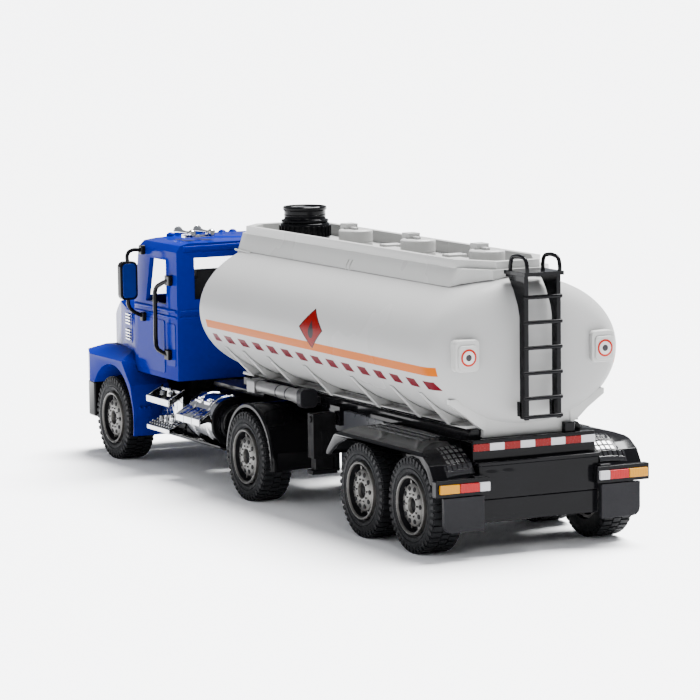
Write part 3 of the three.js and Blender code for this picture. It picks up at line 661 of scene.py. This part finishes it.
# ---------------------------------------------------------------- air horns
# Two plated trumpets on one foot, pressed into the roof on its left side only.
horns = bmesh.new()
for y in (18, 28):
    turned(horns, [(0, 281.2), (1.2, 281.2), (1.75, 281.8), (1.9, 283), (1.5, 284.2), (1.0, 285),
                   (0.85, 289), (1.0, 292.5), (1.4, 295.4), (1.9, 297.4), (2.45, 298.5), (2.2, 298.4),
                   (1.2, 295.6), (0, 294.6)], (0, y, 112), "X", 28)
    brick(horns, (285.6, 287.6), (y - 0.8, y + 0.8), (110, 111.6))
brick(horns, (285, 289), (15.5, 30.5), (109.9, 110.9))
settle(tidy(horns), "air_horn_pair", chrome, "tractor", ["air_horns"], crease=36)

# ---------------------------------------------------------------- cab steps
# Two plated treads on a back plate below each door: the upper one a black tray in a bright
# rim with two studs, the lower one a wedge with raised grip pips.
for side, hand in sides:
    rim = bmesh.new()
    plate(rim, [(44.3, 31.8), (45.1, 31.8), (45.1, 35.0), (44.3, 35.0)], "yz", 275.6, 301)
    for x in (275.6, 299.9):
        plate(rim, [(36.4, 36.6), (44.6, 31.8), (44.6, 35.0), (36.4, 39.6)], "yz", x, x + 1.1)
    plate(rim, [(36.3, 18.7), (45, 18.7), (45, 21.0), (36.3, 24.4)], "yz", 275.6, 301)
    brick(rim, (275.8, 300.8), (36.3, 37.6), (18, 38.4))
    for x, y, z, r, tall in ((283, 40.6, 35.6, 1.5, 4.2), (291.5, 40.6, 35.4, 1.5, 2.4),
                             (281, 40.5, 23, 1.5, 4.4), (287, 40.5, 23, 1.5, 3.6),
                             (293, 40.5, 23, 1.3, 2.6)):
        bmesh.ops.create_cone(rim, cap_ends=True, segments=18, radius1=r, radius2=r * 0.72, depth=tall,
                              matrix=Matrix.Translation((x, y, z + tall / 2)))
    settle(mirrored(tidy(rim), side), f"step_plating_{hand}", chrome, "tractor",
           [f"cab_steps_{hand}"], bevel=0.3, segments=3, crease=36)
    pips = bmesh.new()
    for row in range(4):
        for column in range(9):
            bmesh.ops.create_cone(pips, cap_ends=True, segments=8, radius1=0.75, radius2=0.4, depth=0.7,
                                  matrix=Matrix.Translation((277.4 + column * 2.7 + (row % 2) * 1.2,
                                                             43.9 - row * 1.9, 21.9 + row * 0.74)))
    settle(mirrored(pips, side), f"step_pips_{hand}", chrome, "tractor", crease=60)
    tray = bmesh.new()
    plate(tray, [(37.4, 35.2), (44.4, 31.4), (44.4, 33.4), (37.4, 37.2)], "yz", 276.6, 300)
    settle(mirrored(tidy(tray), side), f"step_tray_{hand}", black_gloss, "tractor",
           bevel=0.2, crease=40)

# ---------------------------------------------------------------- fuel tanks
# A plated drum under each side of the frame with two strap bands and a black end cap that is painted
# shade on its plated rear end; over it a black bracket carries a sloping tread of three bright panels,
# and a thin black plate along the bottom of drum and steps is a painted shadow.
for side, hand in sides:
    drum = bmesh.new()
    middle = (0, 31, 28.8)
    drum_profile = [(0, 232.6), (10.6, 232.6), (11.2, 233.1), (11.35, 234), (11.35, 238.4),
                    (11.75, 238.6), (11.75, 240.6), (11.35, 240.8), (11.35, 254), (11.75, 254.2),
                    (11.75, 256.2), (11.35, 256.4), (11.35, 261.4), (11, 262.4), (10.4, 262.9),
                    (0, 262.9)]
    turned(drum, drum_profile, middle, "X", 72)
    for x in (236.6, 245.4, 254.2):
        plate(drum, [(40.0, 34.9), (47.1, 30.5), (47.1, 27.4), (46.3, 27.4), (46.3, 29.6), (40.0, 33.6)],
              "yz", x, x + 8.2)
    for x in (240.5, 250.6):
        brick(drum, (x, x + 6.4), (35.2, 39.6), (34.8, 37.6))
        brick(drum, (x + 1.8, x + 4.6), (36.2, 38.8), (37.4, 38.7))
    settle(mirrored(tidy(drum), side), f"fuel_drum_{hand}", chrome, "tractor",
           [f"fuel_tank_{hand}"], bevel=0.3, segments=3, crease=38)
    cap = bmesh.new()
    # The black end cap over the drum's rear end is painted shade: the shaded plated end drawn in black.
    turned(cap, [(0, 228.2), (6.6, 228.2), (7.4, 227.2), (8.4, 226.8), (9, 227.4), (9, 231), (11.4, 231),
                 (11.9, 231.4), (11.9, 232.7), (11.4, 233), (0, 233)], middle, "X", 60)
    plate(cap, [(38.6, 34.6), (46.2, 30.2), (46.2, 28.0), (38.6, 29.8)], "yz", 236.8, 262.2)
    # Thin black plate along the bottom of the drum and steps: painted shadow under them.
    plate(cap, [(22, 16.6), (38, 16.6), (40, 17.8), (40, 18.5), (37.2, 17.5), (22, 17.5)], "yz", 229, 303)
    settle(mirrored(tidy(cap), side), f"fuel_drum_black_and_painted_shade_{hand}", black_gloss, "tractor",
           bevel=0.15, crease=38)

# ---------------------------------------------------------------- drive wheel wings
# A half hoop of thin black plastic over each drive wheel with a rolled outer lip, glued to
# the frame along its inner edge, its legs reaching down before and behind the tyre.
axle_x = middle_x("drive_tyre_left")
for side, hand in sides:
    wing = bmesh.new()
    section = [(46.0, -23.2), (46.0, -22.0), (45.0, -21.8), (44.6, -22.3), (16.3, -22.3), (16.3, -23.7),
               (44.4, -23.7), (45.2, -24.0)]
    face = wing.faces.new([wing.verts.new((axle_x + r, y, axle_height)) for y, r in section])
    bmesh.ops.spin(wing, geom=[face], cent=(axle_x, 0, axle_height), axis=(0, 1, 0), dvec=(0, 0, 0),
                   angle=math.pi, steps=40, use_merge=False, use_duplicate=False)
    for end in (-1, 1):
        ends = [f for f in wing.faces
                if all(abs(v.co.z - axle_height) < 0.01 and (v.co.x - axle_x) * end > 0 for v in f.verts)]
        grow(wing, ends, (0, 0, -3.9))
    brick(wing, (axle_x - 24, axle_x - 22.4), (16.4, 43), (16.2, 24))
    settle(mirrored(tidy(wing), side), f"drive_wing_moulding_{hand}", black_gloss, "tractor",
           [f"drive_wing_{hand}"], crease=34)

# ---------------------------------------------------------------- landing gear
# Two square black legs with pad feet and a cross panel between them, moulded in one piece that
# swings on a rod through the trailer frame. The panel is slit where the side skirts pass it.
pivot = middle_x("landing_gear")
pivot_height = 43
legs = bmesh.new()
turned(legs, [(0, -43), (1.3, -43), (1.5, -42.8), (1.5, 42.8), (1.3, 43), (0, 43)],
       (pivot, 0, pivot_height), "Y", 28)
for side in (1, -1):
    a, b = sorted((side * 31, side * 43))
    brick(legs, (pivot - 2.8, pivot + 2.8), (a + 0.6, b - 0.6), (26, 45.5))
    brick(legs, (pivot - 2.2, pivot + 2.2), (a + 1.8, b - 1.8), (20.4, 27))
    brick(legs, (pivot - 2.8, pivot + 2.8), (a, b), (19, 20.8))
    brick(legs, (pivot - 2.9, pivot - 2.5), (a + 4.4, b - 4.4), (28, 38))
for y0, y1 in ((-32, -28.9), (-27.1, 27.1), (28.9, 32)):
    brick(legs, (pivot - 1.2, pivot + 1.2), (y0, y1), (19.6, 37))
brick(legs, (pivot - 1.2, pivot + 1.2), (-24.8, 24.8), (36, 42.4))
settle(tidy(legs), "landing_legs_moulding", black_and_hole_shade, "landing_legs", ["landing_gear"],
       bevel=0.35, segments=3, crease=36)

# ---------------------------------------------------------------- tank
# A hollow oval barrel with domed ends, moulded in two halves in pale grey plastic. The side
# band, the row of slanted marks and the diamond are printed on after moulding.
low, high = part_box("tank_shell")
tank_low, tank_high = from_tail(low[0]) + 2, from_tail(high[0])
half_width, half_height = high[1] * 1000, (high[2] - low[2]) * 500
centre_z = (high[2] + low[2]) * 500
tank_pale = Finish("tank_pale_gloss")
tone = tank_pale.noise(18, 3)
skin = tank_pale.noise(380, 2)
x, y, z = tank_pale.axes()
along = x * 1000 - tail_x * 1000
height = z * 1000
print_start = 15.6
diamond_x, diamond_z = 123.4, 83.3
drop_z = 81.6
flank = (abs(y) * 1000) > 30
base = tank_pale.blend(tone, (0.235, 0.235, 0.232), (0.262, 0.262, 0.259))
band = (height > 73.7) * (height < 77.4) * (along > print_start) * (along < 232) * flank
tinted = tank_pale.blend(band, base, (0.27, 0.06, 0.0))
mark_pitch = 14.72
mark = ((along - (height - 69.6) * 0.5 - 2.4) % mark_pitch) < 7.8
marks = mark * (height > 67.7) * (height < 71.2) * (along > print_start) * (along < 229) * flank
tinted = tank_pale.blend(marks, tinted, (0.06, 0.0, 0.004))
reach = abs(along - diamond_x) / 11.4 + abs(height - diamond_z) / 8.6
tinted = tank_pale.blend((reach < 1) * flank, tinted, (0.008, 0.0, 0.0))
tinted = tank_pale.blend((reach < 0.93) * flank, tinted, (0.10, 0.0, 0.0))
drop_round = ((along - diamond_x) * (along - diamond_x) + (height - drop_z) * (height - drop_z)) < 6.2
drop_point = (abs(along - diamond_x) * 1.75 + abs(height - 82.8)) < 4.2
drop = (drop_round + drop_point * (height > 82.6)) > 0.5
tinted = tank_pale.blend(drop * flank, tinted, (0.012, 0.008, 0.01))
tank_pale.set(Base_Color=tinted, Roughness=tank_pale.spread(tone, 0.3, 0.7, 0.2, 0.3),
              Specular_IOR_Level=0.025)
tank_pale.relief(skin, 0.0001, 0.12)
barrel = bmesh.new()
dome = [(0, 0), (0.16, 0.08), (0.3, 0.28), (0.42, 0.62), (0.53, 1.1), (0.64, 1.85), (0.73, 2.75),
        (0.8, 3.7), (0.86, 4.9), (0.91, 6.4), (0.95, 8.1), (0.975, 9.8), (0.99, 11.5), (0.998, 13.4)]
profile = [(r, tank_low + h) for r, h in dome]
profile += [(1, tank_low + 16), (1, tank_high - 16)]
profile += [(r, tank_high - h) for r, h in reversed(dome)]
turned(barrel, profile, (0, 0, 0), "X", 128)
bmesh.ops.scale(barrel, vec=(1, half_width, half_height), verts=barrel.verts)
bmesh.ops.translate(barrel, vec=(0, 0, centre_z), verts=barrel.verts)
settle(tidy(barrel), "tank_barrel", tank_pale, "trailer", ["tank_shell"], crease=30)

shell_pale = Finish("shell_pale_gloss")
tone = shell_pale.noise(18, 3)
skin = shell_pale.noise(380, 2)
shell_pale.set(Base_Color=shell_pale.blend(tone, (0.275, 0.275, 0.268), (0.31, 0.31, 0.303)),
               Roughness=shell_pale.spread(tone, 0.3, 0.7, 0.24, 0.36), Specular_IOR_Level=0.15)
shell_pale.relief(skin, 0.0001, 0.15)
pads = bmesh.new()
for side in (1, -1):
    plate(pads, rounded(*sorted((side * 26.3, side * 37)), 75.8, 88.8, 2), "yz", 17, 7.4)
    plate(pads, rounded(*sorted((side * 27.6, side * 36.2)), 76.8, 86.6, 1.6), "yz", 8, 6.5)
settle(tidy(pads), "sign_pads", shell_pale, "trailer", bevel=0.5, segments=4, crease=40)
sign_print = Finish("sign_print")
paper_grain = sign_print.noise(800, 2)
x, y, z = sign_print.axes()
sign_y, sign_z = 31.9, 81.7
across = abs(y) * 1000 - sign_y
height = z * 1000 - sign_z
radius = across * across + height * height
ring = (radius > 7.3) * (radius < 13)
dot = radius < 1.8
printed = sign_print.blend(ring, sign_print.blend(paper_grain, (0.36, 0.35, 0.34), (0.40, 0.39, 0.38)),
                           (0.24, 0.008, 0.004))
printed = sign_print.blend(dot, printed, (0.02, 0.018, 0.02))
sign_print.set(Base_Color=printed, Roughness=sign_print.spread(paper_grain, 0.3, 0.7, 0.25, 0.4),
               Specular_IOR_Level=0.12)
sign_print.relief(paper_grain, 0.00003, 0.2)
signs = bmesh.new()
for side in (1, -1):
    turned(signs, [(0, 6.28), (3.55, 6.28), (3.7, 6.4), (3.7, 6.7), (0, 6.7)], (0, side * sign_y, sign_z),
           "X", 48)
settle(tidy(signs), "sign_discs", sign_print, "trailer", crease=40)

# ---------------------------------------------------------------- tank cradle, top and hatches
# The pale cradle with its webbed ribs carries the tank; the walkway moulding on top has a
# raised rim round a sunk deck, and three drum hatches with hinge blocks stand in it.
settle(tidy(from_node("tank_cradle", 3)), "cradle_moulding", shell_pale, "trailer",
       ["tank_cradle"], bevel=0.4, segments=3, crease=32)
settle(tidy(from_node("tank_top", 3)), "walkway_moulding", shell_pale, "trailer",
       ["tank_top"], bevel=0.7, segments=3, crease=32)
notches = bmesh.new()
for side in (1, -1):
    for x in (128.2, 131.6):
        bent_rod(notches, [(x, side * 22.2, 111.2), (x, side * 23.4, 108.8),
                           (x - 1.4, side * 24.3, 106.4)], 0.4)
    bent_rod(notches, [(243, side * 24.2, 107.4), (236, side * 24.4, 107.2), (226, side * 24.4, 107.0)],
             0.45)
settle(tidy(notches), "walkway_notches", shell_pale, "trailer", crease=50)
for name in ("front", "middle", "rear"):
    hatch_x = from_tail(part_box(f"hatch_{name}")[0][0]) + 7.6
    hatch = bmesh.new()
    turned(hatch, [(0, 113.3), (7.6, 113.3), (7.6, 115.0), (7.3, 115.1), (7.3, 115.5), (7.6, 115.6),
                   (7.6, 120.1), (7.2, 120.6), (6.6, 120.8), (5.6, 120.8), (5.4, 120.6), (0, 120.5)],
           (hatch_x, 0, 0), "Z", 56)
    brick(hatch, (hatch_x + 3.4, hatch_x + 9.4), (-2.9, 2.9), (113.3, 123))
    brick(hatch, (hatch_x - 1, hatch_x + 4), (-1, 1), (120.4, 121.6))
    settle(tidy(hatch), f"hatch_{name}_moulding", shell_pale, "trailer", [f"hatch_{name}"],
           bevel=0.35, segments=3, crease=36)
clips = bmesh.new()
for x in (150, 146, 92, 88, 190):
    for side in (1, -1):
        brick(clips, (x - 1.1, x + 1.1), sorted((side * 3, side * 12)),
              (113, 115.4 if x != 190 else 114.4))
brick(clips, (60, 84), (-7, 7), (113, 114.6))
brick(clips, (121, 143), (-7, 7), (113, 114.6))
settle(clips, "walkway_steps", shell_pale, "trailer", bevel=0.4, segments=3, crease=36)

# ---------------------------------------------------------------- filler cap
# A glossy black screw cap: knurled skirt with a rounded shoulder, a flange, a neck and a
# lipped lid. It turns on the thread of the plug in the tank's neck.
cap_x = middle_x("filler_cap")
rib_count = 30
lid = bmesh.new()
turned(lid, [(0, 113.4), (11.3, 113.4), (11.5, 113.8), (11.5, 118.9), (11.3, 119.8), (10.7, 120.4),
             (10.0, 120.5), (10.8, 120.9), (10.9, 121.3), (10.6, 121.8), (9.7, 122.1), (9.5, 122.4),
             (9.5, 123.8), (9.7, 124.0), (9.5, 124.2), (9.5, 125.8), (9.9, 126.2), (10.1, 126.8),
             (10.0, 127.6), (9.5, 127.95), (9.0, 127.9), (8.7, 127.3), (8.4, 127.1), (3.4, 127.1),
             (3.1, 127.5), (0, 127.6)], (cap_x, 0, 0), "Z", 88)
for rib in range(rib_count):
    grip = brick(lid, (-0.55, 0.55), (10.9, 12.0), (114.2, 119.2))
    turn = Matrix.Rotation(2 * math.pi * rib / rib_count, 4, "Z")
    bmesh.ops.transform(lid, matrix=Matrix.Translation((cap_x, 0, 0)) @ turn, verts=grip)
settle(tidy(lid), "filler_cap_moulding", black_gloss, "filler_cap", ["filler_cap"],
       bevel=0.12, crease=40)

# ---------------------------------------------------------------- ladder
# One black moulding: two flanged rails with gusset tops, a small platform, six rungs that
# stick out a little past the rails, and a hoop over each rail.
ladder = bmesh.new()
for side in (1, -1):
    outline = [(2.4, 55.2), (6.8, 55.2), (6.8, 97), (8, 101), (11.6, 107.5), (16.2, 112.8), (16.8, 113.8),
               (2.4, 113.8)]
    plate(ladder, outline, "xz", side * 6.9, side * 8.2)
    plate(ladder, [(2.0, 55), (2.9, 55), (2.9, 113.8), (2.0, 113.8)], "xz", side * 6.6, side * 8.5)
    bent_rod(ladder, [(1.3, side * 7.6, 114), (1.3, side * 7.6, 117.6), (2.5, side * 7.6, 120.2),
                      (5, side * 7.6, 121.1), (11, side * 7.6, 121.1), (13.6, side * 7.6, 120.2),
                      (14.8, side * 7.6, 117.6), (14.8, side * 7.6, 114)], 0.85, fine=4)
    brick(ladder, (12, 17.6), sorted((side * 6.6, side * 8.4)), (112.4, 114.8))
    brick(ladder, (5.4, 9.2), sorted((side * 6.9, side * 8.2)), (56, 62))
brick(ladder, (0.4, 17.6), (-9.2, 9.2), (113.6, 115.2))
for rung in range(6):
    z = 56.2 if rung == 5 else 105 - rung * 10.3
    bent_rod(ladder, [(2.2, -9.0, z), (2.2, 0, z), (2.2, 9.0, z)], 0.85, fine=4)
settle(tidy(ladder), "ladder_moulding", black_gloss, "trailer", ["ladder"], bevel=0.3,
       segments=2, crease=36)

# ---------------------------------------------------------------- discharge pipe
# A grey outlet pipe along the left rail: a square front flange, a stepped tube with two
# dark joints, and a flared end closed by a rounded dark cover.
pipe_grey = Finish("pipe_grey_satin")
mottle = pipe_grey.noise(200, 3)
pipe_grey.set(Base_Color=pipe_grey.blend(mottle, (0.06, 0.06, 0.06), (0.10, 0.10, 0.098)),
              Roughness=pipe_grey.spread(mottle, 0.3, 0.7, 0.34, 0.5))
pipe_grey.relief(mottle, 0.00008, 0.3)
pipe_y, pipe_z = 32.2, 48.8
pipe = bmesh.new()
turned(pipe, [(0, 155.6), (3.9, 155.8), (3.8, 158), (3.3, 163.4), (3.05, 166.2), (3.05, 170),
              (2.8, 170.2), (2.8, 171), (3.05, 171.2), (3.05, 179.6), (2.7, 179.8), (2.7, 180.8),
              (2.95, 181), (2.75, 190), (2.6, 203), (0, 203)], (0, pipe_y, pipe_z), "X", 48)
plate(pipe, rounded(28.7, 35.3, 45.5, 51.7, 1.1), "yz", 201.4, 209.4)
plate(pipe, rounded(29.6, 34.4, 46.4, 50.8, 1.0), "yz", 199.6, 201.6)
settle(tidy(pipe), "discharge_tube", pipe_grey, "trailer", ["discharge_pipe"], bevel=0.3,
       segments=3, crease=40)
cover = bmesh.new()
plate(cover, rounded(28.1, 36.5, 44.7, 53.1, 2.4), "yz", 151.5, 155.9)
for x in (170.2, 180.0):
    turned(cover, [(3.02, x - 0.2), (3.02, x + 1.0), (2.6, x + 1.0), (2.6, x - 0.2), (3.02, x - 0.2)],
           (0, pipe_y, pipe_z), "X", 40)
brick(cover, (152, 155), (26.3, 30), (46.6, 49.4))
brick(cover, (203, 207), (26.3, 30), (46.6, 49.8))
settle(tidy(cover), "discharge_cover", black_satin, "trailer", bevel=0.4, segments=3,
       crease=40)

# ---------------------------------------------------------------- tandem wings
# A glossy black hood over each pair of trailer wheels with raised lines along its top and
# rows of grip blocks down its back slope.
grip_gloss = Finish("black_grip_polished")
pit = grip_gloss.noise(300, 2)
grip_gloss.set(Base_Color=grip_gloss.blend(pit, (0.002, 0.002, 0.0025), (0.006, 0.006, 0.007)),
               Roughness=grip_gloss.spread(pit, 0.3, 0.7, 0.05, 0.12), Specular_IOR_Level=0.9)
grip_gloss.relief(pit, 0.0003, 0.2)
for side, hand in sides:
    settle(tidy(from_node(f"trailer_wing_{hand}", 2)), f"tandem_wing_moulding_{hand}", black_gloss,
           "trailer", [f"trailer_wing_{hand}"], bevel=0.6, segments=3, crease=14)
    blocks = bmesh.new()
    for row, (x, z, tilt) in enumerate(((19.2, 43.75, 19), (16.2, 42.7, 24), (13.4, 41.1, 31),
                                        (10.8, 39.55, 31), (8.75, 37.7, 57), (7.35, 35.5, 57))):
        for column in range(7):
            y = 30.6 + column * 2.35
            drop = max(0, y - 34) ** 1.6 * 0.03
            half = 0.9 if row < 5 else 1.2
            block = brick(blocks, (-1.15, 1.15), (-half, half), (-0.5, 0.42))
            slope = Matrix.Rotation(math.radians(-tilt), 4, "Y")
            roll_off = Matrix.Rotation(math.radians(-max(0, y - 34) * 1.3), 4, "X")
            place = Matrix.Translation((x, y, z - drop)) @ slope @ roll_off
            bmesh.ops.transform(blocks, matrix=place, verts=block)
    for y, z in ((31.5, 46.65), (33.4, 46.6), (36.4, 46.25), (39.2, 45.75)):
        bent_rod(blocks, [(32, y, z - 0.25), (56, y, z - 0.25), (80, y, z - 0.25)], 0.42, fine=2)
    settle(mirrored(blocks, side), f"tandem_wing_grip_{hand}", grip_gloss, "trailer",
           bevel=0.22, segments=2, crease=40)

# ---------------------------------------------------------------- side skirts
# A thin black plate glued along each trailer rail ahead of the tandem wings, coloured dark grey as a
# painted reflection. Its front end has a narrow tongue that hangs down through a slit in the landing
# legs' cross panel.
skirt_black_with_painted_reflection = Finish("skirt_black_painted_reflection_grey")
film = skirt_black_with_painted_reflection.noise(90, 3)
# The dark grey base colour is a painted reflection on a black plate.
skirt_black_with_painted_reflection.set(Base_Color=skirt_black_with_painted_reflection.blend(film, (0.026, 0.027, 0.031), (0.040, 0.041, 0.046)),
                Roughness=skirt_black_with_painted_reflection.spread(film, 0.3, 0.7, 0.22, 0.34), Specular_IOR_Level=0.08)
skirt_black_with_painted_reflection.relief(film, 0.0002, 0.15)
for side, hand in sides:
    skirt = bmesh.new()
    plate(skirt, [(88, 45.9), (140, 45.9), (138.6, 43), (135, 38.6), (131, 36), (128.6, 31), (128, 20),
                  (124, 20), (123.4, 31), (120, 34.6), (88, 34.6)], "xz", 27.5, 28.5)
    plate(skirt, [(89, 45), (138, 45), (138, 46.2), (89, 46.2)], "xz", 25.6, 28.4)
    settle(mirrored(tidy(skirt), side), f"side_skirt_{hand}", skirt_black_with_painted_reflection, "trailer",
           bevel=0.25, segments=3, crease=36)

# ---------------------------------------------------------------- tail panel and marker strip
# A black cross panel with a folded lower edge and two slots drawn as thin near-black plates of painted
# shade, a ledge over it, and above the ledge a riser that carries a strip of red and white reflective
# blocks.
tail = bmesh.new()
brick(tail, (5.4, 8), (-28, 28), (23.6, 37.4))
brick(tail, (6.0, 8), (-28, 28), (14, 23.4))
brick(tail, (4.6, 12), (-28.6, 28.6), (37.4, 38.9))
brick(tail, (9.4, 11), (-28.6, 28.6), (38.5, 47.5))
brick(tail, (9.4, 14.7), (-28.6, 28.6), (46.4, 47.2))
brick(tail, (11.5, 14.4), (-20.4, -15.8), (46.6, 51.4))
for side in (1, -1):
    brick(tail, (7.5, 16.7), sorted((side * 8, side * 14)), (24, 37.4))
settle(tidy(tail), "tail_panel_moulding", black_gloss, "trailer", ["tail_panel"],
       bevel=0.35, segments=3, crease=36)
# The two slots are thin near-black plates on the panel face: painted shade where the slot openings look
# dark.
slot_shade_plates = bmesh.new()
for y in (22.3, 14.5):
    plate(slot_shade_plates, [(y - 2.9, 34.6), (y - 1.6, 35.5), (y + 1.8, 35.6), (y + 2.8, 35.0), (y + 1.6, 34.5),
                  (y - 1.4, 34.2)], "yz", 5.28, 5.6)
settle(tidy(slot_shade_plates), "tail_panel_painted_slot_shade", black_and_hole_shade, "trailer", crease=40)
strip_print = Finish("marker_strip_print")
facet = strip_print.node("ShaderNodeTexVoronoi", {"feature": "DISTANCE_TO_EDGE"},
                         {"Vector": strip_print.point, "Scale": 900})
x, y, z = strip_print.axes()
turn = ((28.6 - y * 1000) / 7.15) % 2
strip_print.set(Base_Color=strip_print.blend(turn < 1.06, (0.36, 0.355, 0.37), (0.12, 0.0, 0.0)),
                Roughness=strip_print.spread(facet, 0, 0.4, 0.2, 0.32), Specular_IOR_Level=0.12)
strip_print.relief(facet, 0.00008, 0.4)
strip = bmesh.new()
plate(strip, rounded(-28.5, 28.5, 42.9, 45.9, 0.3), "yz", 9.5, 8.9)
settle(tidy(strip), "marker_strip", strip_print, "trailer", bevel=0.1, crease=40)

# ---------------------------------------------------------------- lamp bars and mudflaps
# A black bar across the back of each wing holds a lamp strip of white, red and amber lenses,
# with a plain black rubber flap under it that has a rounded corner and a pressed groove.
lamp_lens = Finish("lamp_lens_clear_colours")
ribs = lamp_lens.node("ShaderNodeTexWave", {"bands_direction": "Y"},
                      {"Vector": lamp_lens.point, "Scale": 260})
x, y, z = lamp_lens.axes()
across = abs(y) * 1000
lens_tint = lamp_lens.blend(across > 30.6, (0.34, 0.335, 0.35), (0.22, 0.002, 0.003))
lens_tint = lamp_lens.blend(across > 39.7, lens_tint, (0.34, 0.145, 0.0))
lamp_lens.set(Base_Color=lens_tint, Roughness=lamp_lens.spread(ribs, 0, 1, 0.14, 0.24),
              Specular_IOR_Level=0.15)
lamp_lens.relief(ribs, 0.0001, 0.4)
for side, hand in sides:
    bar = bmesh.new()
    plate(bar, rounded(25.2, 50, 26.5, 33.4, 0.5), "yz", 5, 1.6)
    lip(bar, rounded(25.2, 50, 26.5, 33.4, 0.5), "yz", 2.0, 1.0, 0.45)
    brick(bar, (2.2, 6.2), (27, 32), (26.4, 34.2))
    settle(mirrored(tidy(bar), side), f"lamp_bar_moulding_{hand}", black_gloss, "trailer",
           [f"lamp_bar_{hand}"], bevel=0.25, segments=3, crease=40)
    lens = bmesh.new()
    for a, b in ((25.8, 30.45), (30.6, 39.6), (39.8, 48.6)):
        plate(lens, rounded(a, b, 28.1, 31.7, 0.3), "yz", 1.7, 0.15)
    settle(mirrored(tidy(lens), side), f"lamp_lenses_{hand}", lamp_lens, "trailer",
           [f"lamp_lens_{hand}"], bevel=0.25, segments=3, crease=40)
    flap = bmesh.new()
    outline = [(27.5, 26.0), (27.5, 11.7), (42.4, 11.7), (44.2, 12.1), (45.5, 13.3), (46.0, 15.2),
               (46.0, 26.0)]
    plate(flap, outline, "yz", 2.2, 4.3)
    lip(flap, outline, "yz", 2.3, 1.95, 0.9)
    settle(mirrored(tidy(flap), side), f"mudflap_sheet_{hand}", black_satin, "trailer",
           [f"mudflap_{hand}"], bevel=0.2, segments=3, crease=40)
